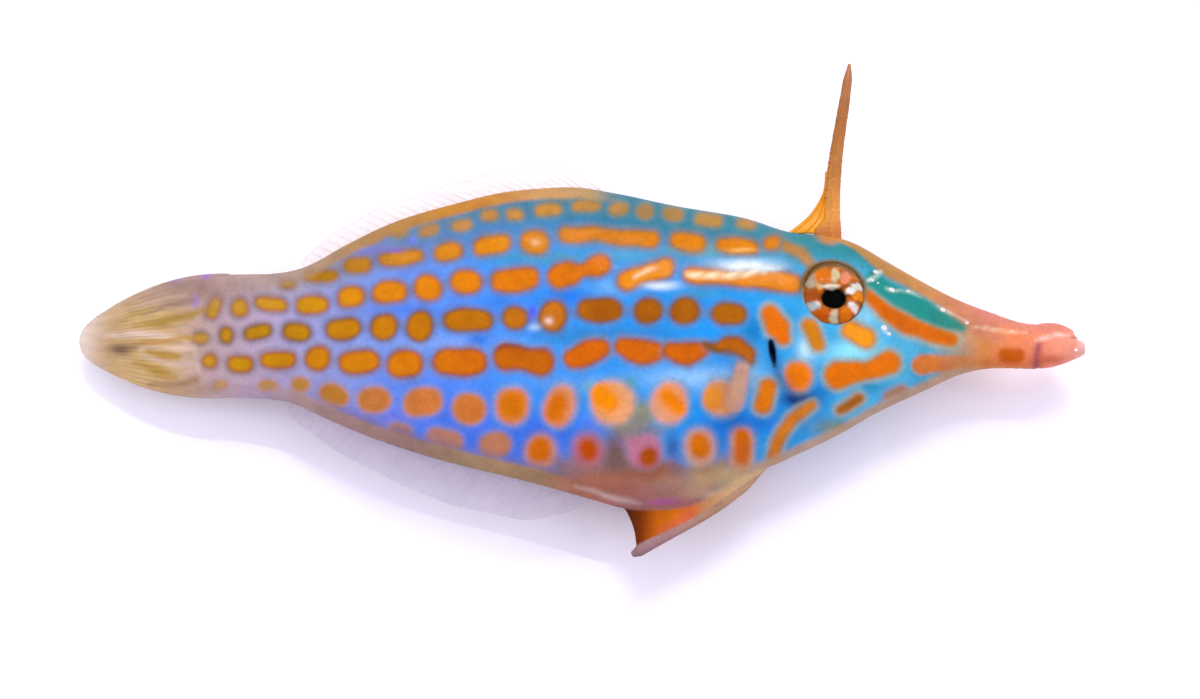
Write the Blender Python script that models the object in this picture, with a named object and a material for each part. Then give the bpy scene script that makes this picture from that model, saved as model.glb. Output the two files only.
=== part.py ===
"""Orange spotted filefish, life size, lying on its left side as a caught fish rests.

Sizes are in millimetres and become metres where a mesh is made. X runs towards the snout, Y towards
the back and Z up, away from the flank that the fish lies on. Y is counted from the line between the
tip of the snout and the tip of the tail. The origin is on the floor, under the middle of the fish.
"""

import math

import bmesh
import bpy
import numpy as np

MM = 0.001
GAP = 0.3  # between two nodes that touch
AXIS_Y = -2.97  # the line from snout tip to tail tip, from the middle of the fish's box
MID_HEIGHT = 4.05  # of the fish's middle plane above the floor, at the trunk

# Where the body is parted, as distances forward of its middle.
LIP_CUT = 33.4
SNOUT_CUT = 26.6
HEAD_CUT = 12.8
PEDUNCLE_CUT = -20.9
TAIL_CUT = -26.9

# Side view of the body: its upper and lower edge, from the lips to the root of the tail fin.
BACK_EDGE = [
    (34.0, 1.50), (33.1, 1.45), (30.5, 2.28), (28.0, 3.22), (25.3, 4.66), (22.4, 6.40), (19.9, 7.90),
    (18.0, 8.35), (15.9, 8.50), (12.4, 9.70), (7.0, 10.75), (2.5, 11.80), (-0.7, 12.30), (-5.0, 12.05),
    (-9.3, 11.10), (-13.5, 9.90), (-17.7, 7.95), (-20.6, 6.42), (-22.8, 6.08), (-27.3, 6.20),
]
BELLY_EDGE = [
    (34.0, -1.90), (33.0, -1.87), (30.2, -1.80), (28.2, -2.12), (24.9, -3.55), (21.3, -5.15),
    (18.8, -6.60), (15.6, -8.05), (14.0, -8.80), (12.0, -9.50), (10.0, -10.60), (8.2, -11.60),
    (6.0, -12.00), (3.4, -11.95), (0.9, -11.25), (-4.0, -9.80), (-9.8, -8.30), (-13.7, -7.05),
    (-18.5, -5.05), (-21.4, -3.65), (-23.6, -3.30), (-27.1, -3.12),
]
# Seen from above the back: half the thickness, and the height at which the body is thickest.
HALF_WIDTH = [
    (34.0, 1.12), (33.0, 1.08), (30.0, 1.22), (27.0, 1.60), (24.0, 2.35), (21.0, 3.15), (18.5, 3.65),
    (14.0, 4.10), (10.0, 4.28), (5.0, 4.32), (0.0, 4.20), (-5.0, 3.80), (-10.0, 3.20), (-15.0, 2.50),
    (-20.0, 1.80), (-24.0, 1.35), (-27.3, 0.95),
]
WIDEST_AT = [
    (34.0, -0.30), (27.0, 0.50), (21.0, 1.80), (14.0, 2.20), (4.0, 1.60), (-10.0, 1.40), (-27.3, 1.40),
]
# How the thickness dies out towards the back and the belly: a snout is round, a trunk is keeled.
KEEL = [(34.0, 0.50), (28.0, 0.52), (22.0, 0.58), (14.0, 0.66), (-20.0, 0.66), (-27.3, 0.60)]
PROFILE_BLUR = 0.7  # rounds off the corners of these lines
EDGE_POWER = 2.1

# The lips: the outer edge of each, and its tip. The lower lip juts out.
UPPER_LIP = [(33.0, 1.44), (34.0, 1.55), (35.0, 1.62), (35.9, 1.40), (36.5, 0.95)]
LOWER_LIP = [(33.0, -1.86), (33.8, -1.87), (34.8, -1.75), (35.7, -1.45), (37.2, -0.92)]
UPPER_LIP_TIP, LOWER_LIP_TIP = (36.4, 0.85), (37.2, -0.50)

# A limp snout and tail sag from the middle plane towards the floor.
TAIL_SAG_FROM, TAIL_SAG, TAIL_TIP_X = -10.0, 2.4, -37.4
SNOUT_SAG_FROM, SNOUT_SAG, SNOUT_TIP_X = 20.0, 0.7, 36.9

EYE_X, EYE_Y = 17.98, 3.10
EYE_OUT = {1: 2.76, -1: 2.42}  # from the middle plane to the middle of the upper and the lower eyeball
EYE_RADIUS, EYE_DEPTH = 2.50, 1.58  # across the eyeball and along its axis
EYE_TILT = 10.0  # degrees that each eye's axis leans towards the back, as the head slopes there
ORBIT_RIM, ORBIT_RIM_RADIUS, ORBIT_RIM_WIDTH = 0.16, 2.75, 0.55

GILL_X, GILL_Y, GILL_LENGTH, GILL_WIDTH, GILL_DEPTH, GILL_LEAN = 13.62, -1.18, 2.05, 0.44, 1.0, -7.5
NOSTRILS = [(21.2, 4.75, 0.26), (20.5, 5.25, 0.20)]  # x, y and radius of each pit

PECTORAL_X, PECTORAL_Y = 11.55, -1.70  # the root of each pectoral fin
PECTORAL_LENGTH, PECTORAL_ROOT, PECTORAL_TURN, PECTORAL_SPREAD = 4.0, 1.1, -103.0, 14.0
PECTORAL_RAYS = 11
PECTORAL_DENT = 1.15  # how deep the lower fin presses into the flank that it lies against

SPINE_FOOT, SPINE_TIP = (18.76, 8.45), (20.52, 21.70)
SPINE_BOW = -0.56
SPINE_RADII = [  # half its width, along the spine
    (0.0, 0.64), (0.18, 0.58), (0.36, 0.55), (0.54, 0.48), (0.73, 0.44), (0.90, 0.36), (0.955, 0.24),
    (1.0, 0.10),
]
SPINE_FOOT_FLARE, FLARE_REACH = 0.75, 0.09  # extra width behind the foot, and how far up the spine it goes
SAIL_START, SAIL_REACH, SAIL_FOOT_X = 0.045, 0.36, 15.3  # the membrane behind it, up the spine and behind
SAIL_HOLLOW = 2.3  # bends its hind edge in
SPINE_BARBS, BARB_LENGTH, BARB_WIDTH = 9, 0.42, 0.20

FIN_HALF = 0.25  # half the thickness of a fin's membrane
RAY_HALF = 0.37  # the same over a ray
FIN_EDGE_HALF = 0.13  # and at the free edge
DORSAL_FIN = {"from": 2.2, "to": -20.2, "rays": 31}
DORSAL_FIN_HEIGHT = [
    (0.0, 1.30), (0.1, 1.70), (0.3, 1.60), (0.55, 1.40), (0.75, 1.50), (0.92, 1.00), (1.0, 0.35),
]
DORSAL_FIN_LEAN = [(0.0, 3.0), (0.1, 3.1), (0.6, 2.3), (0.9, 1.6), (1.0, 0.6)]
ANAL_FIN = {"from": 0.9, "to": -21.2, "rays": 29}
ANAL_FIN_HEIGHT = [(0.0, 0.9), (0.14, 2.5), (0.35, 2.65), (0.6, 2.10), (0.85, 1.35), (1.0, 0.35)]
ANAL_FIN_LEAN = [(0.0, 1.9), (0.15, 2.4), (0.6, 1.9), (0.9, 1.3), (1.0, 0.5)]
FIN_DROOP = 0.75  # how far a median fin's free edge hangs towards the floor
FIN_WAVE, FIN_WAVES = 0.18, 5.0

TAIL_RAYS = 12
TAIL_ROOT_HALF, TAIL_END_HALF, TAIL_RIDGE = 0.62, 0.20, 0.13
TAIL_ROOT_Y, TAIL_END = (-3.10, 6.15), (-37.35, 1.50)
TAIL_END_HALF_HEIGHT, TAIL_END_ROUND = 1.75, 1.1
TAIL_BULGE = {-1: 1.75, 1: 1.9}  # how far the lower and the upper edge bow outwards

ROD_LINE = [
    (13.3, -9.42), (11.6, -10.48), (10.2, -11.55), (8.2, -12.75), (6.9, -13.45), (5.2, -14.27), (3.40, -15.20),
]
ROD_RADIUS = [(13.3, 0.15), (12.0, 0.28), (9.2, 0.31), (6.9, 0.30), (5.2, 0.37), (3.40, 0.44)]
FLAP_TOP_X, FLAP_FOOT_X = (7.5, 2.65), (7.7, 3.75)  # its front and hind ends, at the belly and at the rod
FLAP_HOLLOW, FLAP_HALF, FLAP_FOLDS, FLAP_FOLD = 0.30, 0.27, 7, 0.09

COLOURS = {
    "skin": (0.045, 0.26, 0.52), "snout_skin": (0.62, 0.24, 0.15), "fin": (0.60, 0.45, 0.28),
    "spine": (0.55, 0.24, 0.06), "flap": (0.55, 0.16, 0.02), "eye": (0.05, 0.03, 0.02),
}


def profile(points):
    """A smooth curve y(x) through hand-set points, as a function of x."""
    xs, ys = (np.array(v, float) for v in zip(*sorted(points)))
    step = np.diff(xs)
    slope = np.diff(ys) / step
    tangent = np.zeros_like(ys)
    tangent[0], tangent[-1] = slope[0], slope[-1]
    for i in range(1, len(xs) - 1):
        if slope[i - 1] * slope[i] > 0:
            a, b = 2 * step[i] + step[i - 1], step[i] + 2 * step[i - 1]
            tangent[i] = (a + b) / (a / slope[i - 1] + b / slope[i])
    pad = 3 * PROFILE_BLUR if xs[-1] - xs[0] > 2 else 0.0
    fine = np.linspace(xs[0] - pad, xs[-1] + pad, 1200)
    i = np.clip(np.searchsorted(xs, fine) - 1, 0, len(step) - 1)
    t = np.clip((fine - xs[i]) / step[i], 0, 1)
    value = (
        ys[i] * (2 * t**3 - 3 * t**2 + 1) + tangent[i] * step[i] * (t**3 - 2 * t**2 + t)
        + ys[i + 1] * (3 * t**2 - 2 * t**3) + tangent[i + 1] * step[i] * (t**3 - t**2)
    )
    value += tangent[0] * np.minimum(fine - xs[0], 0) + tangent[-1] * np.maximum(fine - xs[-1], 0)
    if pad:
        reach = int(3 * PROFILE_BLUR / (fine[1] - fine[0]))
        bell = np.exp(-0.5 * np.linspace(-3, 3, 2 * reach + 1) ** 2)
        value = np.convolve(np.pad(value, reach, mode="edge"), bell / bell.sum(), mode="valid")
    return lambda x: np.interp(x, fine, value)


back_edge, belly_edge = profile(BACK_EDGE), profile(BELLY_EDGE)
half_width, widest_at, keel = profile(HALF_WIDTH), profile(WIDEST_AT), profile(KEEL)


def share(value, start, end):
    """How far value is from start to end, from 0 to 1."""
    return min(1.0, max(0.0, (value - start) / (end - start)))


def middle_height(x):
    """Height of the fish's middle plane above the floor at x."""
    tail = share(x, TAIL_SAG_FROM, TAIL_TIP_X)
    snout = share(x, SNOUT_SAG_FROM, SNOUT_TIP_X)
    return MID_HEIGHT - TAIL_SAG * tail**1.8 - SNOUT_SAG * snout**2


def thickness_at(x, y):
    """Half the body's thickness at x and y, before the eye's rim and the pectoral dent."""
    middle = widest_at(x)
    reach = back_edge(x) - middle if y > middle else middle - belly_edge(x)
    t = min(1.0, abs(y - middle) / reach)
    return half_width(x) * (1 - t**EDGE_POWER) ** keel(x)


def skin_out(x, y, side):
    """Half thickness with the rim round the eye and, below, the dent that holds the lower pectoral fin."""
    out = thickness_at(x, y)
    from_eye = math.hypot(x - EYE_X, y - EYE_Y)
    out += ORBIT_RIM * math.exp(-(((from_eye - ORBIT_RIM_RADIUS) / ORBIT_RIM_WIDTH) ** 2))
    if side < 0:
        turn = math.radians(PECTORAL_TURN)
        along = (x - PECTORAL_X) * math.cos(turn) + (y - PECTORAL_Y) * math.sin(turn)
        across = (y - PECTORAL_Y) * math.cos(turn) - (x - PECTORAL_X) * math.sin(turn)
        middle, half_long, half_wide = PECTORAL_LENGTH * 0.5, PECTORAL_LENGTH * 0.82, 2.9
        from_fin = math.hypot((along - middle) / half_long, across / half_wide)
        out -= PECTORAL_DENT * (1 - share(from_fin, 0.72, 1.25)) * min(1.0, out / 2)
    return out


def ring(x, sides, top=None, bottom=None):
    """The body's outline at x, as points in millimetres. top and bottom limit it to a lip."""
    top = back_edge(x) if top is None else top
    bottom = belly_edge(x) if bottom is None else bottom
    points = []
    for k in range(sides):
        turn = 2 * math.pi * k / sides
        middle = min(max(widest_at(x), bottom + 0.3), top - 0.3)
        reach = top - middle if math.sin(turn) > 0 else middle - bottom
        y = middle + reach * math.sin(turn)
        side = 1 if math.cos(turn) >= 0 else -1
        out = skin_out(x, y, side) if abs(math.cos(turn)) > 1e-6 else 0.0
        z = max(0.0, middle_height(x) + side * out)
        points.append((x, AXIS_Y + y, z))
    return points


def mesh_object(name, points, faces, colour, smooth=40.0):
    """A named object from points in millimetres, with its faces turned outwards."""
    bm = bmesh.new()
    verts = [bm.verts.new([c * MM for c in p]) for p in points]
    for face in faces:
        bm.faces.new([verts[i] for i in face])
    bmesh.ops.recalc_face_normals(bm, faces=bm.faces)
    mesh = bpy.data.meshes.new(name)
    bm.to_mesh(mesh)
    bm.free()
    mesh.shade_smooth()
    mesh.set_sharp_from_angle(angle=math.radians(smooth))
    obj = bpy.data.objects.new(name, mesh)
    bpy.context.scene.collection.objects.link(obj)
    mesh.materials.append(bpy.data.materials[colour])
    return obj


def loft(name, rings, colour):
    """A solid through rings of as many points each, closed by a flat face at both ends."""
    count = len(rings[0])
    points = [p for r in rings for p in r]
    faces = [tuple(range(count)), tuple(range(len(points) - count, len(points)))]
    for i in range(len(rings) - 1):
        for k in range(count):
            a, b = i * count + k, i * count + (k + 1) % count
            faces.append((a, b, b + count))
            faces.append((a, b + count, a + count))
    return mesh_object(name, points, faces, colour)


def sheet(name, grid, normals, halves, colour):
    """A fin: a grid of middle points, thickened both ways and split alike on both faces."""
    columns, rows = len(grid), len(grid[0])
    points, faces = [], []
    for sign in (1, -1):
        for i in range(columns):
            for j in range(rows):
                p, n, h = grid[i][j], normals[i][j], halves[i][j]
                points.append(tuple(p[k] + sign * h * n[k] for k in range(3)))
    under = columns * rows
    at = lambda i, j: i * rows + j
    for i in range(columns - 1):
        for j in range(rows - 1):
            a, b, c, d = at(i, j), at(i + 1, j), at(i + 1, j + 1), at(i, j + 1)
            for tri in ((a, b, c), (a, c, d)):
                faces.append(tri)
                faces.append(tuple(under + v for v in reversed(tri)))
    rim = [at(i, 0) for i in range(columns)] + [at(columns - 1, j) for j in range(1, rows)]
    rim += [at(i, rows - 1) for i in range(columns - 2, -1, -1)] + [at(0, j) for j in range(rows - 2, 0, -1)]
    for a, b in zip(rim, rim[1:] + rim[:1]):
        faces.append((a, under + a, under + b))
        faces.append((a, under + b, b))
    return mesh_object(name, points, faces, colour)


def ellipsoid(name, centre, radii, colour, columns=20, rows=10):
    """An ellipsoid whose poles point up and down."""
    points = [(centre[0], centre[1], centre[2] - radii[2])]
    for j in range(1, rows):
        tilt = math.pi * j / rows - math.pi / 2
        for k in range(columns):
            turn = 2 * math.pi * k / columns
            points.append((
                centre[0] + radii[0] * math.cos(tilt) * math.cos(turn),
                centre[1] + radii[1] * math.cos(tilt) * math.sin(turn),
                centre[2] + radii[2] * math.sin(tilt),
            ))
    points.append((centre[0], centre[1], centre[2] + radii[2]))
    last = len(points) - 1
    faces = []
    for k in range(columns):
        after = (k + 1) % columns
        faces.append((0, 1 + after, 1 + k))
        faces.append((last, last - columns + k, last - columns + after))
        for j in range(rows - 2):
            a, b = 1 + j * columns + k, 1 + j * columns + after
            faces.append((a, b, b + columns, a + columns))
    return mesh_object(name, points, faces, colour)


def combine(obj, others, operation):
    """One Boolean of obj with a collection of closed meshes, applied; the others are then removed."""
    tools = bpy.data.collections.new(obj.name + "_tools")
    bpy.context.scene.collection.children.link(tools)
    for other in others:
        bpy.context.scene.collection.objects.unlink(other)
        tools.objects.link(other)
    cut = obj.modifiers.new(operation.lower(), "BOOLEAN")
    cut.operation, cut.operand_type, cut.collection, cut.solver = operation, "COLLECTION", tools, "EXACT"
    graph = bpy.context.evaluated_depsgraph_get()
    made = bpy.data.meshes.new_from_object(obj.evaluated_get(graph))
    obj.modifiers.clear()
    obj.data = made
    for other in others:
        bpy.data.objects.remove(other)
    bpy.data.collections.remove(tools)
    keep_largest(obj)
    made.shade_smooth()
    made.set_sharp_from_angle(angle=math.radians(40))


def keep_largest(obj):
    """Leaves only the object's largest closed surface."""
    bm = bmesh.new()
    bm.from_mesh(obj.data)
    left, islands = set(bm.faces), []
    while left:
        stack = [left.pop()]
        island = set(stack)
        while stack:
            for edge in stack.pop().edges:
                for face in edge.link_faces:
                    if face in left:
                        left.discard(face)
                        island.add(face)
                        stack.append(face)
        islands.append(island)
    islands.sort(key=lambda faces: sum(f.calc_area() for f in faces))
    for island in islands[:-1]:
        bmesh.ops.delete(bm, geom=list(island), context="FACES")
    bm.to_mesh(obj.data)
    bm.free()


def make_materials():
    for name, colour in COLOURS.items():
        material = bpy.data.materials.new(name)
        material.use_nodes = True
        shader = material.node_tree.nodes["Principled BSDF"]
        shader.inputs["Base Color"].default_value = (*colour, 1)
        shader.inputs["Roughness"].default_value = 0.12 if name == "eye" else 0.35
        shader.inputs["Metallic"].default_value = 0.0


def body_length(name, front, rear, step, sides, colour="skin"):
    """One length of the body, between two cuts."""
    front, rear = front - GAP / 2, rear + GAP / 2
    count = round((front - rear) / step)
    return loft(name, [ring(rear + (front - rear) * i / count, sides) for i in range(count + 1)], colour)


def mouth_line(x):
    """Height of the mouth's cleft, which climbs a little towards the tip."""
    return -0.15 + 0.45 * share(x, LIP_CUT, 36.4)


def lip(name, tip_at, edges, is_upper):
    """A lip from the cut to its rounded tip. edges are its outer edge's points."""
    tip, tip_y = tip_at
    outer = profile(edges)
    start, rings, steps, sides = LIP_CUT + GAP / 2, [], 9, 16
    for i in range(steps + 1):
        bend = math.sin(math.pi / 2 * i / steps)  # rings crowd towards the tip
        x = start + (tip - start) * min(bend, 0.997)
        fade = math.sqrt(max(0.02, 1 - ((x - start) / (tip - start)) ** 6))
        cleft = mouth_line(x) + (GAP / 2 if is_upper else -GAP / 2)
        middle = (outer(x) + cleft) / 2 * fade + tip_y * (1 - fade)
        half = abs(outer(x) - cleft) / 2 * (0.3 + 0.7 * fade)
        wide = (1.12 + 0.22 * math.sin(math.pi * share(x, start, tip))) * fade * (1 if is_upper else 0.92)
        points = []
        for k in range(sides):
            turn = 2 * math.pi * k / sides
            up, out = math.sin(turn), math.cos(turn)
            flat = 0.86 if (up < 0) == is_upper else 1.0  # the cleft's side is flatter
            points.append((x, AXIS_Y + middle + half * up * flat, middle_height(x) + wide * out))
        rings.append(points)
    return loft(name, rings, "snout_skin")


def cut_head(head):
    """Sinks the eye sockets, gill slits and nostrils into the head."""
    cutters = []
    for side in (1, -1):
        cutters.append(eyeball(f"socket{side}", side, GAP))
        slit = (GILL_WIDTH / 2, GILL_LENGTH / 2, GILL_DEPTH)
        gill = ellipsoid(f"gill{side}", (0, 0, 0), slit, "skin", 8, 8)
        gill.rotation_euler.z = math.radians(-GILL_LEAN)
        out = middle_height(GILL_X) + side * skin_out(GILL_X, GILL_Y, side)
        gill.location = (GILL_X * MM, (AXIS_Y + GILL_Y) * MM, out * MM)
        cutters.append(gill)
        for n, (x, y, radius) in enumerate(NOSTRILS):
            out = middle_height(x) + side * skin_out(x, y, side)
            pit = (radius, radius, 0.5)
            cutters.append(ellipsoid(f"nostril{side}{n}", (x, AXIS_Y + y, out), pit, "skin", 8, 6))
    bpy.context.view_layer.update()
    combine(head, cutters, "DIFFERENCE")


def eyeball(name, side, extra=0.0):
    """A flattened eyeball, its axis leaning back with the side of the head, grown by extra all round."""
    radii = (EYE_RADIUS + extra, EYE_RADIUS + extra, EYE_DEPTH + extra)
    ball = ellipsoid(name, (0, 0, 0), radii, "eye", 24, 10)
    ball.rotation_euler.x = math.radians(-side * EYE_TILT)
    ball.location = (EYE_X * MM, (AXIS_Y + EYE_Y) * MM, (middle_height(EYE_X) + side * EYE_OUT[side]) * MM)
    return ball


def spine_path(t):
    """A point along the first dorsal spine, from its foot at 0 to its tip at 1, with a slight bow."""
    x = SPINE_FOOT[0] + (SPINE_TIP[0] - SPINE_FOOT[0]) * t + SPINE_BOW * (1 - t) * math.sin(math.pi * t)
    y = SPINE_FOOT[1] + GAP + (SPINE_TIP[1] - SPINE_FOOT[1] - GAP) * t
    return x, y


def spine_half_width(t):
    return float(np.interp(t, *zip(*SPINE_RADII)))


def spine_flare(t):
    return SPINE_FOOT_FLARE * max(0.0, 1 - t / FLARE_REACH) ** 2


def dorsal_spine():
    """The long first spine, flared at its locking foot, with barbs down its hind edges."""
    rings, steps, sides = [], 16, 10
    for i in range(steps + 1):
        t = i / steps
        x, y = spine_path(t)
        radius = spine_half_width(t)
        flare = spine_flare(t)
        points = []
        for k in range(sides):
            turn = 2 * math.pi * k / sides
            across = radius * math.cos(turn)
            if math.cos(turn) < 0:
                across -= flare * -math.cos(turn)
            points.append((x + across, AXIS_Y + y, middle_height(x) + radius * 0.9 * math.sin(turn)))
        rings.append(points)
    spine = loft("dorsal_spine", rings, "spine")
    barbs = []
    for n in range(SPINE_BARBS):
        for side in (1, -1):
            t = 0.34 + 0.60 * n / (SPINE_BARBS - 1)
            barbs.append(barb(f"barb{n}{side}", t, side))
    combine(spine, barbs, "UNION")


def barb(name, t, side):
    """A small thorn on the spine's hind edge, pointing back and down."""
    x, y = spine_path(t)
    radius = spine_half_width(t)
    size = 0.55 + 0.45 * (1 - t)
    length, wide = BARB_LENGTH * size, BARB_WIDTH * size
    mid = middle_height(x)
    root = (x - radius * 0.45, AXIS_Y + y, mid + side * radius * 0.45)
    tip = (root[0] - (radius * 0.3 + length * 0.75), root[1] - length * 0.75, root[2] + side * length * 0.45)
    points = [
        tip, (root[0], root[1] + wide * 1.6, root[2]), (root[0], root[1] - wide, root[2] + wide * 0.8),
        (root[0], root[1] - wide, root[2] - wide * 0.8),
    ]
    return mesh_object(name, points, [(0, 1, 2), (0, 2, 3), (0, 3, 1), (1, 3, 2)], "spine")


def spine_membrane():
    """The small sail behind the spine, from a third of the way up the spine down to the back."""
    columns, rows = 9, 6
    grid, normals, halves = [], [], []
    foot_y = back_edge(SAIL_FOOT_X) + GAP
    top_y = spine_path(SAIL_REACH)[1] - 0.25
    for i in range(columns):
        s = i / (columns - 1)  # up the spine
        t = SAIL_START + (SAIL_REACH - SAIL_START) * s
        x, y = spine_path(t)
        front = (x - spine_half_width(t) - spine_flare(t) - GAP, y)
        top_x = spine_path(SAIL_REACH)[0] - spine_half_width(SAIL_REACH) - GAP - 0.25
        hollow = 1 - (1 - s) ** SAIL_HOLLOW
        hind = (SAIL_FOOT_X + (top_x - SAIL_FOOT_X) * hollow, foot_y + (top_y - foot_y) * s)
        column, half_column = [], []
        for j in range(rows):
            v = j / (rows - 1)
            column.append((
                front[0] + (hind[0] - front[0]) * v, AXIS_Y + front[1] + (hind[1] - front[1]) * v,
                middle_height(front[0]) + 0.12 * math.sin(math.pi * v) * math.cos(2.2 * math.pi * s),
            ))
            half_column.append(0.36 - 0.10 * s - 0.08 * v + (0.03 if j % 2 else 0))
        grid.append(column)
        normals.append([(0, 0, 1)] * rows)
        halves.append(half_column)
    sheet("dorsal_spine_membrane", grid, normals, halves, "spine")


def median_fin(name, fin, edge, direction, heights, leans):
    """A long fin on the back (direction 1) or belly (-1): leaning rays raised on one membrane."""
    height, lean = profile(heights), profile(leans)
    columns, rows = 2 * fin["rays"] + 1, 4
    grid, normals, halves = [], [], []
    for i in range(columns):
        u = i / (columns - 1)
        x = fin["from"] + (fin["to"] - fin["from"]) * u
        root = (x, edge(x) + direction * GAP)
        tip_x = x - lean(u)
        tip = (tip_x, edge(tip_x) + direction * (GAP + height(u)))
        column, half_column = [], []
        for j in range(rows):
            v = j / (rows - 1)
            on_edge = edge(root[0] + (tip[0] - root[0]) * v) + direction * GAP
            straight = root[1] + (tip[1] - root[1]) * v
            y = max(straight, on_edge) if direction > 0 else min(straight, on_edge)
            y += direction * 0.10 * math.sin(math.pi * v)
            sag = FIN_DROOP * v**1.6 - FIN_WAVE * v * math.sin(2 * math.pi * FIN_WAVES * u)
            px = root[0] + (tip[0] - root[0]) * v
            column.append((px, AXIS_Y + y, middle_height(px) - sag))
            ridge = RAY_HALF if i % 2 else FIN_HALF
            half_column.append(ridge + (FIN_EDGE_HALF - ridge) * v**2)
        grid.append(column)
        normals.append([(0, 0, 1)] * rows)
        halves.append(half_column)
    sheet(name, grid, normals, halves, "fin")


def tail_point(u, v):
    """A point of the folded tail fin: u from its lower to its upper ray, v from root to tip."""
    spread = 2 * u - 1
    root = np.array([TAIL_CUT - GAP / 2, TAIL_ROOT_Y[0] + (TAIL_ROOT_Y[1] - TAIL_ROOT_Y[0]) * u])
    end = np.array([
        TAIL_END[0] + TAIL_END_ROUND * abs(spread) ** 2.2, TAIL_END[1] + TAIL_END_HALF_HEIGHT * spread,
    ])
    bulge = TAIL_BULGE[1 if spread > 0 else -1]
    bend = (root + end) / 2 + np.array([0.0, bulge * spread * abs(spread) ** 0.5])
    return root * (1 - v) ** 2 + bend * 2 * v * (1 - v) + end * v**2


def caudal_fin():
    """The folded tail fin: a tapering blade with its rays raised along it."""
    columns, rows = 4 * TAIL_RAYS + 1, 10
    grid, normals, halves = [], [], []
    for i in range(columns):
        u = i / (columns - 1)
        ridge = (0.0, 0.6, 1.0, 0.6)[i % 4]
        edge = 1 - abs(2 * u - 1) ** 6
        column, half_column = [], []
        for j in range(rows):
            v = j / (rows - 1)
            x, y = tail_point(u, v)
            thick = TAIL_ROOT_HALF + (TAIL_END_HALF - TAIL_ROOT_HALF) * v**0.8
            column.append((x, AXIS_Y + y, middle_height(x)))
            half_column.append(max(0.16, thick * (0.45 + 0.55 * edge) + TAIL_RIDGE * ridge * (1 - 0.55 * v)))
        grid.append(column)
        normals.append([(0, 0, 1)] * rows)
        halves.append(half_column)
    sheet("caudal_fin", grid, normals, halves, "fin")


def pectoral_fins():
    """Both pectoral fins, folded down against the flank with their rays raised."""
    for side, name in ((1, "pectoral_fin_right"), (-1, "pectoral_fin_left")):
        columns, rows = 2 * PECTORAL_RAYS + 1, 6
        grid, normals, halves = [], [], []
        for i in range(columns):
            u = i / (columns - 1) * 2 - 1
            turn = math.radians(PECTORAL_TURN + PECTORAL_SPREAD / 2 * u)
            aim = math.radians(PECTORAL_TURN)
            root = (
                PECTORAL_X - math.sin(aim) * PECTORAL_ROOT / 2 * u,
                PECTORAL_Y + math.cos(aim) * PECTORAL_ROOT / 2 * u,
            )
            length = PECTORAL_LENGTH * (1 - 0.16 * abs(u) ** 2)
            column, normal_column, half_column = [], [], []
            for j in range(rows):
                v = j / (rows - 1)
                x = root[0] + length * v * math.cos(turn)
                y = root[1] + length * v * math.sin(turn)
                ridge = 0.34 if i % 2 else FIN_HALF
                half = ridge + (FIN_EDGE_HALF + 0.03 - ridge) * v**2
                lift = 0.45 * v**2 if side > 0 else 0.0
                z = middle_height(x) + side * (skin_out(x, y, side) + GAP + 0.34 + lift)
                column.append((x, AXIS_Y + y, z))
                slope_x = (skin_out(x + 0.2, y, side) - skin_out(x - 0.2, y, side)) / 0.4
                slope_y = (skin_out(x, y + 0.2, side) - skin_out(x, y - 0.2, side)) / 0.4
                normal = np.array([-side * slope_x, -side * slope_y, 1.0])
                normal_column.append(tuple(normal / np.linalg.norm(normal)))
                half_column.append(half)
            grid.append(column)
            normals.append(normal_column)
            halves.append(half_column)
        sheet(name, grid, normals, halves, "fin")


rod_line, rod_radius = profile(ROD_LINE), profile(ROD_RADIUS)


def rod_top(x):
    """The edge of the pelvic rod that faces the belly."""
    slope = (rod_line(x + 0.2) - rod_line(x - 0.2)) / 0.4
    return rod_line(x) + rod_radius(x) * math.hypot(1.0, slope)


def pelvic_rod():
    """The keel of bone and rough skin along the front of the flap, ending in a blunt hook."""
    rings, steps, sides = [], 18, 12
    front, rear = ROD_LINE[0][0], ROD_LINE[-1][0]
    for i in range(steps + 1):
        x = front + (rear - front) * i / steps
        slope = (rod_line(x + 0.2) - rod_line(x - 0.2)) / 0.4
        heading = math.atan(slope)
        radius = rod_radius(x) * (0.6 if i == steps else 1.0)
        points = []
        for k in range(sides):
            turn = 2 * math.pi * k / sides
            across = radius * math.cos(turn)
            points.append((
                x - math.sin(heading) * across, AXIS_Y + rod_line(x) + math.cos(heading) * across,
                middle_height(x) + radius * math.sin(turn),
            ))
        rings.append(points)
    loft("pelvic_rod", rings, "snout_skin")


def belly_flap():
    """The thin orange flap between the belly and the pelvic rod, pleated a little."""
    columns, rows = 2 * FLAP_FOLDS + 1, 5
    grid, normals, halves = [], [], []
    for i in range(columns):
        s = i / (columns - 1)
        top_x = FLAP_TOP_X[0] + (FLAP_TOP_X[1] - FLAP_TOP_X[0]) * s
        foot_x = FLAP_FOOT_X[0] + (FLAP_FOOT_X[1] - FLAP_FOOT_X[0]) * s
        top = belly_edge(top_x) - GAP
        foot = min(rod_top(foot_x) + GAP, top - 0.15)
        column = []
        for j in range(rows):
            v = j / (rows - 1)
            x = top_x + (foot_x - top_x) * v
            hollow = FLAP_HOLLOW * s * math.sin(math.pi * v)
            column.append((x + hollow, AXIS_Y + top + (foot - top) * v, middle_height(x)))
        grid.append(column)
        normals.append([(0, 0, 1)] * rows)
        halves.append([FLAP_HALF + (FLAP_FOLD if i % 2 else 0)] * rows)
    sheet("belly_flap", grid, normals, halves, "flap")


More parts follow.
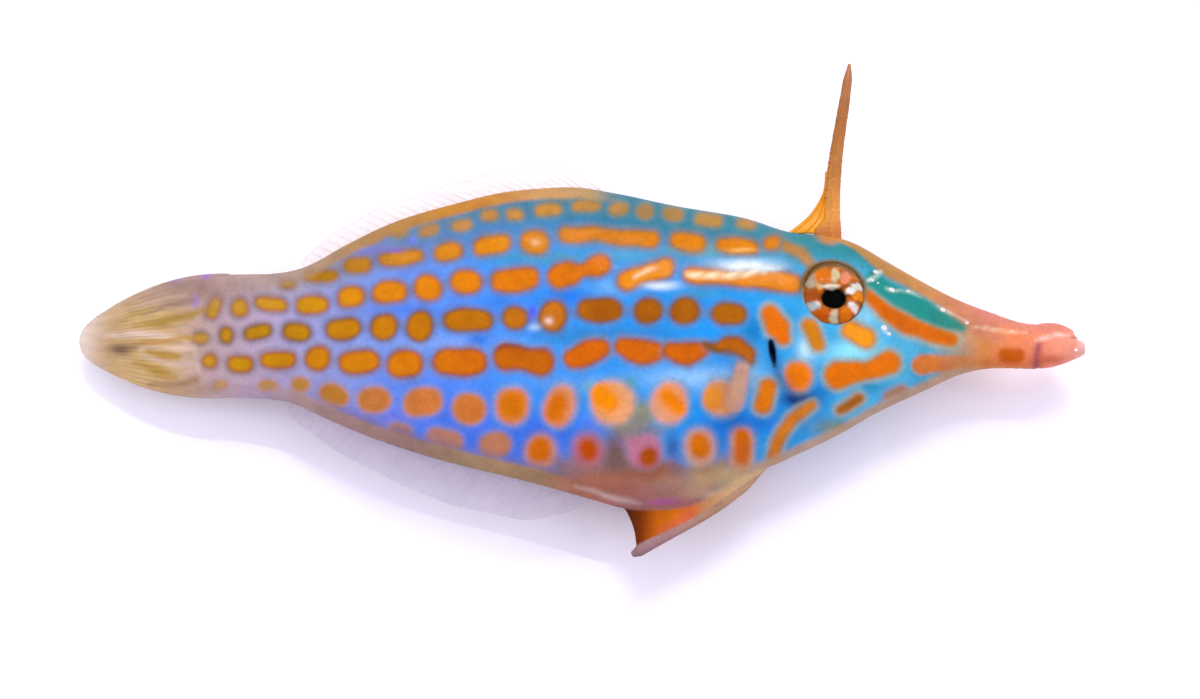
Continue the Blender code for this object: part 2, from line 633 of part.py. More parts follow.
def main():
    for obj in list(bpy.data.objects):
        bpy.data.objects.remove(obj)
    make_materials()
    lip("upper_lip", UPPER_LIP_TIP, UPPER_LIP, True)
    lip("lower_lip", LOWER_LIP_TIP, LOWER_LIP, False)
    body_length("snout", LIP_CUT, SNOUT_CUT, 0.75, 28, "snout_skin")
    head = body_length("head", SNOUT_CUT, HEAD_CUT, 0.72, 44)
    cut_head(head)
    body_length("trunk", HEAD_CUT, PEDUNCLE_CUT, 1.05, 44)
    body_length("caudal_peduncle", PEDUNCLE_CUT, TAIL_CUT, 0.85, 32)
    eyeball("eye_right", 1)
    eyeball("eye_left", -1)
    dorsal_spine()
    spine_membrane()
    median_fin("soft_dorsal_fin", DORSAL_FIN, back_edge, 1, DORSAL_FIN_HEIGHT, DORSAL_FIN_LEAN)
    median_fin("anal_fin", ANAL_FIN, belly_edge, -1, ANAL_FIN_HEIGHT, ANAL_FIN_LEAN)
    caudal_fin()
    pectoral_fins()
    pelvic_rod()
    belly_flap()


main()
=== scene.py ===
"""Looks of the orange spotted filefish: wet patterned skin, glassy eyes, horny spine and thin rayed fins.

Sizes are in millimetres, as in the part's source, and become metres where a mesh is made. X runs
towards the snout, Y towards the back and Z up, away from the flank that the fish lies on.
"""

import math

import bpy
import numpy as np
from mathutils import Matrix, Vector


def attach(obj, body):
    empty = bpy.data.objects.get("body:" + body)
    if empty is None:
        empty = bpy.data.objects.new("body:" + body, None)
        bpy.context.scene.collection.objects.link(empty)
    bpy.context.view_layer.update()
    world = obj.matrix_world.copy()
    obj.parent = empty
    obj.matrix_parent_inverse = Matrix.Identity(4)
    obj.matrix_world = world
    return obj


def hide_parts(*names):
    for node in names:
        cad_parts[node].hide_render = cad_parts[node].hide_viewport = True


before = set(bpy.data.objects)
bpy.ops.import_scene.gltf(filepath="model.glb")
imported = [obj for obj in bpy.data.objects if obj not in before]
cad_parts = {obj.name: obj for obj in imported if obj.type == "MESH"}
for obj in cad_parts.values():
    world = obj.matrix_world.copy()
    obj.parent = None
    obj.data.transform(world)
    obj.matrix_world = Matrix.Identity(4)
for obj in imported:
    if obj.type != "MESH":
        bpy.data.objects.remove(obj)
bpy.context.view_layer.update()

MM = 0.001
GAP = 0.3  # between two solids that touch
AXIS_Y = -2.97  # the line from snout tip to tail tip
MID_HEIGHT = 4.05  # of the middle plane above the floor, at the trunk

# The body's form, as in the part's source
BACK_EDGE = [
    (34.0, 1.50), (33.1, 1.45), (30.5, 2.28), (28.0, 3.22), (25.3, 4.66), (22.4, 6.40), (19.9, 7.90),
    (18.0, 8.35), (15.9, 8.50), (12.4, 9.70), (7.0, 10.75), (2.5, 11.80), (-0.7, 12.30), (-5.0, 12.05),
    (-9.3, 11.10), (-13.5, 9.90), (-17.7, 7.95), (-20.6, 6.42), (-22.8, 6.08), (-27.3, 6.20),
]
BELLY_EDGE = [
    (34.0, -1.90), (33.0, -1.87), (30.2, -1.80), (28.2, -2.12), (24.9, -3.55), (21.3, -5.15), (18.8, -6.60),
    (15.6, -8.05), (14.0, -8.80), (12.0, -9.50), (10.0, -10.60), (8.2, -11.60), (6.0, -12.00), (3.4, -11.95),
    (0.9, -11.25), (-4.0, -9.80), (-9.8, -8.30), (-13.7, -7.05), (-18.5, -5.05), (-21.4, -3.65),
    (-23.6, -3.30), (-27.1, -3.12),
]
HALF_WIDTH = [
    (34.0, 1.12), (33.0, 1.08), (30.0, 1.22), (27.0, 1.60), (24.0, 2.35), (21.0, 3.15), (18.5, 3.65),
    (14.0, 4.10), (10.0, 4.28), (5.0, 4.32), (0.0, 4.20), (-5.0, 3.80), (-10.0, 3.20), (-15.0, 2.50),
    (-20.0, 1.80), (-24.0, 1.35), (-27.3, 0.95),
]
WIDEST_AT = [
    (34.0, -0.30), (27.0, 0.50), (21.0, 1.80), (14.0, 2.20), (4.0, 1.60), (-10.0, 1.40), (-27.3, 1.40),
]
KEEL = [(34.0, 0.50), (28.0, 0.52), (22.0, 0.58), (14.0, 0.66), (-20.0, 0.66), (-27.3, 0.60)]
PROFILE_BLUR = 0.7  # millimetres over which a profile's corners are rounded
EDGE_POWER = 2.1  # of the cross section's curve

# Tail and snout sink below the middle plane: from where, how far, and up to where
TAIL_SAG_FROM, TAIL_SAG, TAIL_TIP_X = -10.0, 2.4, -37.4
SNOUT_SAG_FROM, SNOUT_SAG, SNOUT_TIP_X = 20.0, 0.7, 36.9

LIP_ROOT, TAIL_ROOT = 33.4, -26.9
UPPER_LIP = [(33.0, 1.44), (34.0, 1.55), (35.0, 1.62), (35.9, 1.40), (36.5, 0.95)]
LOWER_LIP = [(33.0, -1.86), (33.8, -1.87), (34.8, -1.75), (35.7, -1.45), (37.2, -0.92)]
UPPER_LIP_TIP, LOWER_LIP_TIP = (36.4, 0.85), (37.2, -0.50)
LIPS_FROM = LIP_ROOT - 0.5  # inside the snout
LIP_HALF_WIDTH, LIP_SWELL = 1.12, 0.22  # and how much wider they are halfway along

# Eyes, gill slits, nostrils and side fins
EYE_X, EYE_Y = 17.98, 3.10
EYE_OUT = {1: 2.84, -1: 2.42}  # from the middle plane, on the right and on the left
EYE_RADIUS, EYE_DEPTH, EYE_TILT = 2.56, 1.58, 10.0
ORBIT_RIM, ORBIT_RIM_RADIUS, ORBIT_RIM_WIDTH = 0.16, 2.75, 0.55
BROW_SPOT = (18.4, 8.3)  # the orange round the spine's foot
LIDS_OFF = (0.20, 0.10)  # the lids' middle from the eye's
GILL_X, GILL_Y, GILL_LENGTH, GILL_WIDTH, GILL_DEPTH, GILL_LEAN = 13.62, -1.18, 2.05, 0.44, 1.0, -7.5
NOSTRILS, NOSTRIL_DEPTH = [(21.2, 4.75, 0.20), (20.5, 5.25, 0.16)], 0.22  # place and radius
PECTORAL_X, PECTORAL_Y, PECTORAL_LENGTH, PECTORAL_ROOT = 11.55, -1.70, 4.0, 1.1
PECTORAL_TURN, PECTORAL_SPREAD, PECTORAL_RAYS = -103.0, 14.0, 11
DENT_DEPTH, DENT_HALF_WIDTH = 1.15, 2.9  # where the lower one lies against the flank
DENT_HALF_LENGTH, DENT_RIM = 0.82, (0.72, 1.25)  # against the fin's length; against the dent's size

# The first dorsal spine, its barbs and the sail behind it
SPINE_FOOT, SPINE_TIP, SPINE_BOW = (18.76, 8.45), (20.52, 21.70), -0.56
SPINE_RADII = [
    (0.0, 0.64), (0.18, 0.58), (0.36, 0.55), (0.54, 0.48), (0.73, 0.44), (0.90, 0.36), (0.955, 0.24),
    (1.0, 0.10),
]
SPINE_FOOT_FLARE, FLARE_REACH = 0.75, 0.09
BARBS, BARB_SEED = 26, 7  # on each of the spine's hind edges; for their random sizes
SAIL_REACH, SAIL_FOOT_X, SAIL_HOLLOW = 0.36, 15.3, 2.3

# The two long fins: where they start and end, and how high and how far back their rays reach along them
DORSAL_FIN = {
    "from": 2.2, "to": -20.2, "rays": 31,
    "height": [(0.0, 1.30), (0.1, 1.70), (0.3, 1.60), (0.55, 1.40), (0.75, 1.50), (0.92, 1.00), (1.0, 0.35)],
    "lean": [(0.0, 3.0), (0.1, 3.1), (0.6, 2.3), (0.9, 1.6), (1.0, 0.6)],
}
ANAL_FIN = {
    "from": 0.9, "to": -21.2, "rays": 29,
    "height": [(0.0, 0.9), (0.14, 2.5), (0.35, 2.65), (0.6, 2.10), (0.85, 1.35), (1.0, 0.35)],
    "lean": [(0.0, 1.9), (0.15, 2.4), (0.6, 1.9), (0.9, 1.3), (1.0, 0.5)],
}
FIN_DROOP, FIN_WAVE, FIN_WAVES = 0.75, 0.18, 5.0
FIN_ROOTED = 0.35  # how deep they start inside the body

# The tail fin, and the rod and flap below the belly
TAIL_RAYS = 12
TAIL_ROOT_Y, TAIL_END = (-3.10, 6.15), (-37.35, 1.50)
TAIL_END_HALF_HEIGHT, TAIL_END_ROUND, TAIL_BULGE = 1.75, 1.1, (1.75, 1.9)
ROD_LINE = [
    (13.3, -9.42), (11.6, -10.48), (10.2, -11.55), (8.2, -12.75), (6.9, -13.45), (5.2, -14.27),
    (3.40, -15.20),
]
ROD_FRONT_X = 13.6  # inside the belly
ROD_RADIUS = [(13.3, 0.15), (12.0, 0.28), (9.2, 0.31), (6.9, 0.30), (5.2, 0.37), (3.40, 0.44)]
FLAP_HIND_X = (2.65, 3.75)  # at the belly and at the rod
FLAP_FRONT_X, FLAP_HOLLOW = 12.9, 0.30

# The camera that took the photo: its place in the frame, and where it looks
PHOTO_SIZE = (1200, 699)
PHOTO_FOCAL = 2064.8  # focal length in the photo's pixels
CAMERA_AT = np.array([-0.68, -33.43, 152.41])
CAMERA_LOOKS = np.array([0.01333, 0.20053, -0.97960])
CAMERA_UP = np.array([0.01270, 0.97957, 0.20070])
CAMERA_RIGHT = np.cross(CAMERA_LOOKS, CAMERA_UP)
SENSOR_WIDTH = 36.0  # millimetres
CLIP_NEAR, CLIP_FAR = 0.005, 10.0  # metres
SIGHT_STEPS = 8  # in which a line of sight closes in on the skin

# The skin's own mesh
SKIN_STEP = 0.20  # between the loft's rings
SKIN_SIDES = 220
SKIN_VOXEL = 0.12
TAIL_COVER = 2.4  # how far the body's skin reaches over the tail fin
TAIL_HALF = (0.50, 0.10)  # half the tail blade's thickness at its root and its end
LIP_OVERLAP = 0.45  # the closed lips press into each other
# How finely shapes are divided: points round or across, and rings along
LIP_GRID, SNOUT_GRID, ROD_GRID, SPINE_GRID = (48, 40), (64, 40), (28, 60), (40, 150)
EYE_GRID, DOME_RINGS, DROP_GRID = (144, 90), 32, (24, 14)
SOCKET_GRID, GILL_GRID, NOSTRIL_GRID = (64, 32), (24, 16), (16, 12)
FLAP_GRID, SAIL_GRID = (160, 30), (60, 30)
FIN_ROWS, PER_RAY, TAIL_ROWS, PER_TAIL_RAY = 40, 12, 110, 24
POLE_GAP = 0.02  # radians: how near to its pole the last ring of a round shape lies
FLESH_NODES = (
    "head", "trunk", "caudal_peduncle", "snout", "upper_lip", "lower_lip", "pelvic_rod", "belly_flap",
)

# Spots of the right flank, in the photo's pixels: middle, length, height and lean in degrees
SPOT_ROWS = {
    "crest": [
        (349, 243, 16, 9, 12), (373, 241, 13, 8, 5), (444, 212, 14, 7, 8), (464, 207, 18, 8, 8),
        (492, 202, 16, 8, 5), (562, 197, 20, 6, 3),
    ],
    "back": [
        (400, 233, 16, 10, 8), (429, 230, 21, 13, 12), (462, 225, 21, 13, 8), (490, 215, 18, 13, 8),
        (515, 215, 18, 13, 0), (548, 210, 27, 14, 4), (586, 206, 29, 13, 2), (619, 209, 20, 14, 0),
        (645, 211, 17, 16, 0), (673, 214, 21, 15, 0), (709, 220, 28, 15, -4), (746, 224, 19, 12, -5),
    ],
    "upper": [
        (288, 284, 15, 9, 0), (322, 276, 33, 13, 5), (358, 265, 28, 17, 8), (401, 258, 44, 16, 7),
        (448, 252, 29, 19, 10), (492, 245, 38, 20, 12), (535, 242, 29, 25, 0), (688, 242, 35, 20, -9),
        (737, 246, 43, 17, -7), (773, 243, 19, 15, 0),
    ],
    "shoulder": [
        (214, 308, 14, 24, 20), (240, 308, 18, 19, 0), (271, 304, 32, 15, -10), (312, 305, 33, 19, 0),
        (351, 297, 28, 22, 5), (390, 292, 35, 23, 6), (428, 288, 28, 27, 0), (466, 282, 31, 25, 5),
        (515, 280, 48, 25, 6),
    ],
    "middle": [
        (200, 338, 14, 12, 0), (226, 335, 15, 18, 0), (258, 332, 29, 16, 15), (297, 332, 28, 20, 0),
        (343, 329, 35, 23, 8), (384, 327, 28, 27, 0), (420, 326, 27, 31, 10), (468, 320, 48, 24, 0),
        (515, 318, 26, 24, 0), (553, 316, 28, 32, 18), (600, 310, 44, 25, 0), (648, 311, 29, 26, 0),
        (685, 311, 30, 27, 0), (729, 314, 34, 23, 0),
    ],
    "lower": [
        (210, 361, 16, 15, 0), (240, 364, 26, 18, 0), (278, 360, 36, 18, 0), (318, 358, 26, 25, 0),
        (359, 362, 40, 24, 4), (405, 364, 36, 28, 0), (460, 362, 52, 28, 0),
    ],
    "belly": [
        (220, 385, 14, 9, 0), (268, 386, 19, 12, 0), (300, 385, 19, 16, 0), (334, 395, 31, 21, -25),
        (374, 400, 33, 26, 0), (423, 402, 39, 29, 10), (469, 409, 33, 32, 0),
    ],
    "keel": [(400, 430, 22, 14, -10), (445, 439, 36, 20, -15), (495, 445, 31, 26, 0)],
}
# Low spots with a strong core in a wide pale ring: ring, core and the two colours
RINGED_SPOTS = [
    ((512, 406, 35, 38, 0), (512, 405, 25, 27, 0), "#e0955c", "#dd7901"),
    ((560, 406, 32, 43, 18), (557, 408, 17, 27, 18), "#e39a68", "#df7400"),
    ((613, 403, 44, 46, 0), (604, 398, 28, 20, -48), "#eda86c", "#ff9400"),
    ((669, 403, 38, 43, 12), (673, 402, 30, 14, -48), "#e9a67c", "#f48600"),
    ((722, 398, 36, 38, 0), (713, 399, 18, 22, 10), "#d99c6c", "#e8922e"),
    ((541, 452, 34, 37, 0), (540, 450, 21, 24, 0), "#cc9276", "#da6f02"),
    ((588, 451, 33, 38, 0), (588, 450, 17, 21, 0), "#b87684", "#c85000"),
    ((645, 451, 36, 34, 0), (649, 457, 18, 18, 0), "#c47c94", "#b25000"),
    ((700, 448, 33, 41, 0), (700, 446, 19, 25, 0), "#c89e88", "#d67000"),
    ((742, 454, 26, 53, 0), (742, 447, 16, 36, 0), "#cfa280", "#d86a02"),
    ((798, 376, 29, 32, 0), (798, 376, 22, 25, 0), "#c8a06a", "#f47e00"),
]
# Longer marks: the row whose edges they share, their colour, and points with a radius, in pixels
SPOT_CHAINS = [
    ("upper", "#d47c04", [(567, 235, 9), (597, 234, 8), (622, 238, 8.5), (651, 239, 9.5)]),
    ("back", "#c08028", [(787, 247, 6), (801, 253, 6.5), (812, 265, 4.5)]),
    ("shoulder", "#dc7504", [
        (560, 276, 13), (569, 274, 13), (583, 270, 7), (597, 266, 11.5), (601, 265, 11),
    ]),
    ("shoulder", "#ea8e10", [(627, 280, 11), (645, 274, 9.5), (664, 268, 11)]),
    ("shoulder", "#e88a18", [(692, 275, 9), (730, 278, 8), (755, 280, 9), (775, 280, 11), (793, 284, 10)]),
    ("lower", "#c86601", [(506, 357, 13.5), (524, 359, 12), (541, 362, 14)]),
    ("lower", "#d86802", [
        (574, 358, 10.5), (581, 356, 12.5), (588, 353, 13), (595, 350.5, 12), (601, 348, 10),
    ]),
    ("lower", "#d66804", [
        (624, 347, 9.5), (632, 350, 12.5), (640, 351.5, 13.5), (648, 352, 12.5), (655, 352, 10),
    ]),
    ("lower", "#d46602", [
        (672, 351, 9.5), (680, 353, 11.5), (688, 353.5, 12), (695, 352, 10.5), (702, 350, 8),
    ]),
    ("middle", "#bc6204", [
        (708, 346, 3), (717, 347, 5.5), (727, 344, 8), (738, 346, 9.5), (747, 353, 8.5), (750, 360, 5),
    ]),
    ("head", "#e87002", [(770, 314, 9.5), (778, 327, 12.5), (782, 337, 8.5)]),
    ("head", "#dc8812", [(810, 327, 8.5), (818, 345, 7)]),
    ("head", "#fea018", [(851, 330, 10), (866, 338, 10.5)]),
    ("head", "#ee7802", [(838, 375, 14.5), (866, 371, 9.5), (889, 363, 12.5)]),
    ("head", "#e87d06", [(768, 386, 8.5), (763, 405, 9.5)]),
    ("head", "#dc8022", [
        (812, 405, 4.5), (803, 411, 5.5), (792, 420, 6), (783, 431, 6.5), (777, 443, 6.5), (774, 457, 6),
    ]),
    ("head", "#a8641a", [(840, 410, 5), (858, 399, 6)]),
    ("keel", "#b07c50", [(888, 396, 5), (902, 390, 5)]),
    ("head", "#d66602", [(869, 296, 7), (886, 312, 9), (908, 325, 10), (932, 334, 9.5), (952, 340, 7)]),
]

# Marks of the head and gleams on the bars, in pixels: points with a radius
SNOUT_BAR = [(922, 365, 10), (943, 363, 8), (968, 362, 5.5), (985, 360, 3.5)]
TEAL_STRIPE = [(872, 280, 8), (896, 296, 9), (922, 309, 11), (946, 322, 7.5), (962, 328, 4)]
SNOUT_SPOT = [(1005, 355.5, 7.5), (1017, 355.5, 7.5)]
GILL_SHADE = [(770, 342, 2.2), (772, 352, 3.2), (775, 366, 1.6)]
# Painted shade round the gill slit, reaching down the cheek
GILL_SHADE_HALO = [(771, 344, 2.5), (775, 362, 3.5), (780, 378, 5.5), (792, 393, 3)]
HOOK_SHADE = [(706, 344, 3.0), (714, 348, 3.0), (722, 352, 2.2), (732, 355, 1.2)]
BAR_GLEAM = [(688, 274, 2.8), (704, 275.5, 3.2), (722, 276, 3.4), (744, 273.5, 3.6), (764, 271, 2.4)]
SLOPE_GLEAM = [(634, 277, 1.8), (647, 271, 2.8), (656, 267, 1.6)]

# Blots of the head, in pixels: middle and half sizes. The gill's blue shade stays off the orange spots.
GILL_SPOTS = [(798, 376, 12, 13), (766, 396, 9, 16), (776, 327, 10, 13)]
LIP_BLUSH = (1052, 359, 12, 5)
SNOUT_BAND_AT, SNOUT_BAND_TOP = (1038, 350), (335, 347)
SNOUT_BAR_FADES, TAIL_END_FADES = (935, 985), (78, 112)  # from where to where, along the photo

# Painted highlights: wet glints along the brow and the snout's ridge: strength, colour, and points as above
PAINTED_WET_GLINTS = [
    (0.75, "#eef8ea", [(868, 281, 1.6), (874, 278, 2.2), (880, 272, 2.0)]),
    (0.60, "#eaf4dc", [(886, 287, 0.8), (892, 290, 1.8), (900, 291, 0.8), (909, 292, 1.5), (920, 297, 0.4)]),
    (0.55, "#f6eed6", [(938, 306, 0.6), (944, 310, 1.5), (956, 316, 0.5), (967, 321, 1.3)]),
    (0.62, "#ffdcae", [(972, 326, 1.0), (988, 329, 2.0), (1004, 331, 2.2), (1026, 333, 1.0)]),
    (0.75, "#ffe8d0", [(1036, 341, 1.4), (1044, 337, 2.4), (1054, 334.5, 2.4), (1068, 336, 1.2)]),
    (0.60, "#fff0dc", [(884, 328, 2.6), (889, 334, 1.6)]),
]

# How marks are drawn, in pixels
SPOT_SOFTNESS = 2.9  # over which a spot's edge fades
SPOT_SPREAD = 0.52  # from a spot's middle to its edge, against its length
RING_AT, RING_WIDTH = 1.4, 3.0  # a ring's distance outside the spot's edge, and its width
PAINT_REACH, FAR = 120, 99.0  # marks are worked out within the first, and all else counts as far off
LOWEST_RINGS_FROM = 430  # ringed spots below this line lie in the belly's haze
MIDDLE_LOW_BAR = 5  # the place in the list of the bar whose upper edge is darker
BAR_TOP = (344, 354)  # over which that edge fades
JOINED_ROWS = ("shoulder", "middle", "lower")  # faint necks join some neighbours in these rows
NECKS_FROM, NECK_REACH = 330, 27  # where they begin, and the widest gap that one bridges

# Colours of each row of spots, along the photo in pixels
ROW_COLOURS = {
    "crest": [(349, "#a5843a"), (464, "#b98a2c"), (562, "#bd9048")],
    "back": [
        (400, "#a37c3c"), (463, "#cb8826"), (548, "#d08c0c"), (645, "#a67a30"), (709, "#bd861f"),
        (800, "#c28430"),
    ],
    "upper": [
        (288, "#aa8848"), (322, "#a87408"), (401, "#ca8424"), (492, "#df8800"), (600, "#d07c04"),
        (773, "#d88006"),
    ],
    "shoulder": [
        (214, "#c5962a"), (312, "#cf8f04"), (390, "#e08608"), (466, "#e48402"), (515, "#dc7802"),
        (800, "#e88a14"),
    ],
    # The middle row's darker browns from 600 to 729 pixels are partly painted shade
    "middle": [
        (200, "#bd8a0c"), (300, "#be8402"), (384, "#cb7e02"), (468, "#bc7001"), (553, "#c87414"),
        (600, "#a75901"), (729, "#b06402"),
    ],
    "lower": [
        (210, "#cd9804"), (278, "#c78602"), (359, "#d98402"), (460, "#d97202"), (586, "#d86802"),
        (687, "#d46602"),
    ],
    "belly": [
        (220, "#c4a060"), (268, "#ba8e34"), (334, "#c07e08"), (374, "#c87a20"), (423, "#da7e26"),
        (469, "#d87a14"),
    ],
    "keel": [(400, "#a97460"), (445, "#c3814a"), (495, "#cd8238")],
}
# Each row's edge colour, the colour of the ring round it, and how strongly spot and ring show
ROW_EDGES = {
    "crest": ("#a08048", "#988870", 0.55, 0.15), "back": ("#9c7c40", "#6f8c84", 0.88, 0.30),
    "upper": ("#9c6c34", "#7f7a78", 1.0, 0.50), "shoulder": ("#a26232", "#7e7882", 1.0, 0.50),
    "middle": ("#7e5428", "#74707a", 1.0, 0.38), "lower": ("#a0562a", "#8c8284", 1.0, 0.50),
    "belly": ("#c98a62", "#a898a6", 0.97, 0.28), "keel": ("#bb8464", "#a894a0", 0.92, 0.28),
    "head": ("#c8802e", "#a8b094", 1.0, 0.60),
}

# Colours along the fish, by x in millimetres
FLANK_COLOURS = [
    (-37, "#d9b98c"), (-31, "#cfae74"), (-28, "#c2a49c"), (-23.5, "#bba7c0"), (-19, "#9a9fd4"),
    (-14, "#7095ea"), (-6, "#4596f6"), (0, "#2c98ee"), (10, "#229aea"), (16, "#36aae4"), (21, "#4fbeea"),
    (25, "#4ca8c8"), (27, "#9c9a8a"), (29.3, "#e0904c"), (32, "#f48c5c"), (34.5, "#f89878"), (37, "#f8a68c"),
]
BACK_COLOURS = [
    (-37, "#cdb08a"), (-29, "#b39890"), (-22, "#ac9a94"), (-16, "#7284a6"), (-8, "#4c7898"), (0, "#3c788c"),
    (8, "#327a8a"), (14, "#348494"), (18, "#288488"), (24, "#2c8480"), (28, "#dba078"), (33, "#ee9474"),
]
BACK_BAND = [
    (-26, "#a08e80"), (-16, "#ae8448"), (-11, "#bc8018"), (-7, "#c48010"), (-3, "#cc9650"), (1, "#b49058"),
    (4, "#7e8a7c"),
]
BELLY_BAND = [
    (-24, "#bc9c92"), (-17, "#b08c7c"), (-12, "#a8846c"), (-8, "#b49460"), (-4, "#b8925c"), (0, "#bc7c5c"),
]
# Bands along the edges: their colours, strength and edge, and in millimetres where they fade inwards,
# where they start and where they end
EDGE_BANDS = [
    (BACK_BAND, 0.92, "back", (0.95, 1.55), (-27, -17), (0.5, 3.5)),
    ([(0, "#8a7a94")], 0.6, "belly", (0.9, 1.7), (-22, -16), (-1, 2)),
    (BELLY_BAND, 0.92, "belly", (0.75, 1.10), (-25, -20), (0, 3)),
    ([(0, "#b46e50")], 0.9, "belly", (0.9, 3.0), (-2.5, 2), (8.5, 12.5)),
    ([(0, "#c4a07e")], 0.92, "belly", (0.30, 0.85), (10, 13), (27, 30)),
]
BROW_COLOURS = [
    (18, "#bc8838"), (21, "#ae8040"), (25, "#c48a4c"), (28, "#cc8260"), (31, "#d88470"), (35, "#ec9078"),
]
BROW_WIDTH = [
    (17.5, 0.35), (18.6, 0.5), (20.1, 1.0), (21.1, 1.6), (22.3, 1.95), (23.6, 1.7), (26.5, 1.55),
    (29.0, 2.6),
]
FLAP_COLOURS = [
    (3.0, "#401602"), (4.1, "#7a3202"), (5.3, "#c06004"), (6.6, "#d4700a"), (7.7, "#d06a30"),
    (8.8, "#c48c5c"), (11, "#c8a67c"),
]
ROD_COLOURS = [(3, "#94747a"), (6, "#a88080"), (9, "#b48c6e"), (13.5, "#c69b78")]

# Soft patches and painted highlights under the spots and over them: colour, strength, middle and half sizes
# in pixels
UNDER_PATCHES_AND_HIGHLIGHTS = [
    # The cyan wash at 851,352 is partly a painted highlight; the near-white ones at 806,349, 745,262 and
    # 660,284 are painted highlights
    ("#1b72cf", 0.70, 800, 396, 30, 24), ("#1670d2", 0.85, 745, 424, 46, 14),
    ("#1a78d6", 0.6, 722, 432, 14, 26), ("#98f0ff", 1.0, 851, 352, 26, 11),
    ("#ccf6ff", 0.95, 806, 349, 9, 13), ("#96dcee", 0.7, 864, 316, 11, 10),
    ("#a4d2fa", 0.75, 700, 378, 62, 12), ("#68a8f8", 0.6, 560, 382, 44, 9),
    ("#a8c4f6", 0.35, 440, 343, 90, 9), ("#8cc4f0", 0.55, 612, 287, 24, 8),
    ("#1c74ee", 0.7, 568, 298, 22, 9), ("#3a84c2", 0.8, 605, 333, 56, 7), ("#3c70ee", 0.6, 548, 428, 26, 14),
    ("#6a86f4", 0.6, 596, 424, 14, 14), ("#4f86f2", 0.5, 494, 425, 20, 14),
    ("#2478ee", 0.5, 405, 310, 40, 7), ("#2c74e8", 0.45, 505, 300, 30, 7), ("#7a64e0", 0.4, 368, 252, 26, 8),
    ("#8a7ae0", 0.5, 352, 412, 26, 9), ("#7c6cd8", 0.45, 392, 418, 20, 8), ("#bfe6f4", 0.6, 745, 262, 34, 6),
    ("#dcf0f6", 0.65, 660, 284, 18, 4.5), ("#8ccfe8", 0.5, 752, 372, 9, 22),
    ("#3aa8e0", 0.5, 812, 300, 14, 30), ("#8f927c", 1.5, 641, 416, 13, 14),
    ("#8c867c", 1.6, 628, 432, 16, 12), ("#6f6c92", 1.2, 615, 444, 12, 9), ("#7a8090", 0.9, 654, 432, 12, 8),
    ("#9c6450", 1.5, 616, 469, 28, 17), ("#967466", 1.3, 588, 474, 22, 13),
    ("#8e7a94", 1.0, 566, 466, 14, 10), ("#a07a60", 1.3, 664, 474, 18, 9), ("#96905f", 1.4, 706, 472, 20, 8),
    ("#8f9a78", 1.0, 722, 466, 8, 8), ("#c6ac72", 1.3, 740, 480, 18, 9), ("#3a68ae", 1.0, 673, 448, 7, 15),
    ("#985c4a", 1.2, 646, 474, 22, 12), ("#84706c", 1.2, 604, 462, 20, 12),
    ("#9a6a64", 1.0, 668, 470, 16, 10), ("#0c3478", 1.4, 801, 399, 16, 8), ("#3a98c0", 0.8, 516, 258, 40, 8),
    ("#2c8cc8", 0.55, 560, 338, 34, 8), ("#44a0c0", 0.7, 626, 256, 36, 7), ("#4e98b4", 0.8, 556, 257, 30, 7),
    ("#64a8a4", 0.8, 702, 250, 34, 7), ("#2474c8", 0.5, 562, 292, 15, 6), ("#4c9cb8", 0.6, 700, 293, 22, 6),
    ("#0c74b8", 0.7, 754, 331, 12, 16), ("#1c74e0", 0.8, 480, 340, 13, 8), ("#86b0b4", 0.6, 590, 386, 10, 8),
    ("#0078c8", 0.6, 822, 391, 14, 6), ("#1c88b8", 0.7, 871, 386, 14, 7), ("#7c9484", 0.95, 834, 427, 22, 8),
    ("#7c6058", 1.3, 614, 459, 12, 14), ("#94767c", 1.0, 570, 469, 14, 8),
    ("#985838", 1.0, 656, 471, 13, 10), ("#7a6878", 0.8, 676, 472, 8, 8),
]
OVER_PATCHES_AND_HIGHLIGHTS = [
    # Painted highlights and reflections among these: the near-white ones at 549,321, 536,242, 746,266,
    # 770,268 and 660,286, the magenta sheen at 663,502 and the small violet glints
    ("#ae6a50", 0.75, 616, 486, 40, 10), ("#b0705a", 0.7, 588, 482, 28, 9),
    ("#b08468", 0.70, 668, 484, 24, 10), ("#bc9c70", 0.75, 700, 484, 20, 11),
    ("#ccb480", 0.85, 730, 479, 22, 11), ("#8f7a52", 0.5, 540, 474, 24, 6), ("#cc7e90", 0.5, 630, 442, 9, 7),
    ("#b84ab0", 0.60, 663, 502, 14, 3), ("#fbe0cc", 0.85, 549, 321, 4.0, 3.6),
    ("#cfe8f4", 0.6, 535, 327, 6, 3.5), ("#f8dca8", 0.5, 536, 242, 4.5, 3.5),
    ("#5a38f0", 0.7, 532, 312, 4, 7), ("#7a78ff", 0.5, 413, 241, 4, 3.5), ("#8a50f0", 0.4, 395, 250, 9, 2.4),
    ("#5a9a50", 0.45, 631, 382, 6, 6), ("#d88a50", 0.6, 827, 240, 7, 4), ("#a87e70", 0.45, 742, 378, 12, 16),
    ("#d8bc96", 0.6, 716, 494, 26, 5), ("#f8fcf6", 0.95, 746, 266, 25, 4.4),
    ("#f2c070", 0.6, 742, 250, 14, 2.2), ("#e8f6f8", 0.7, 770, 268, 12, 3.4),
    ("#e6f4fa", 0.8, 660, 286, 15, 3.6), ("#cfab72", 0.85, 124, 346, 48, 44),
    ("#9c7e70", 0.85, 196, 289, 44, 13), ("#b0937c", 0.6, 160, 300, 30, 8),
    ("#ab8c70", 0.65, 182, 389, 42, 8), ("#6e4e34", 0.97, 121, 349, 11, 5.5),
    ("#8a6a52", 0.5, 134, 347, 18, 4), ("#9050f0", 0.45, 148, 283, 6, 3.5),
    ("#9050f0", 0.45, 174, 278, 7, 3.5), ("#a060f0", 0.4, 206, 276, 5, 3.5),
    ("#9060f0", 0.4, 195, 302, 4, 6),
]
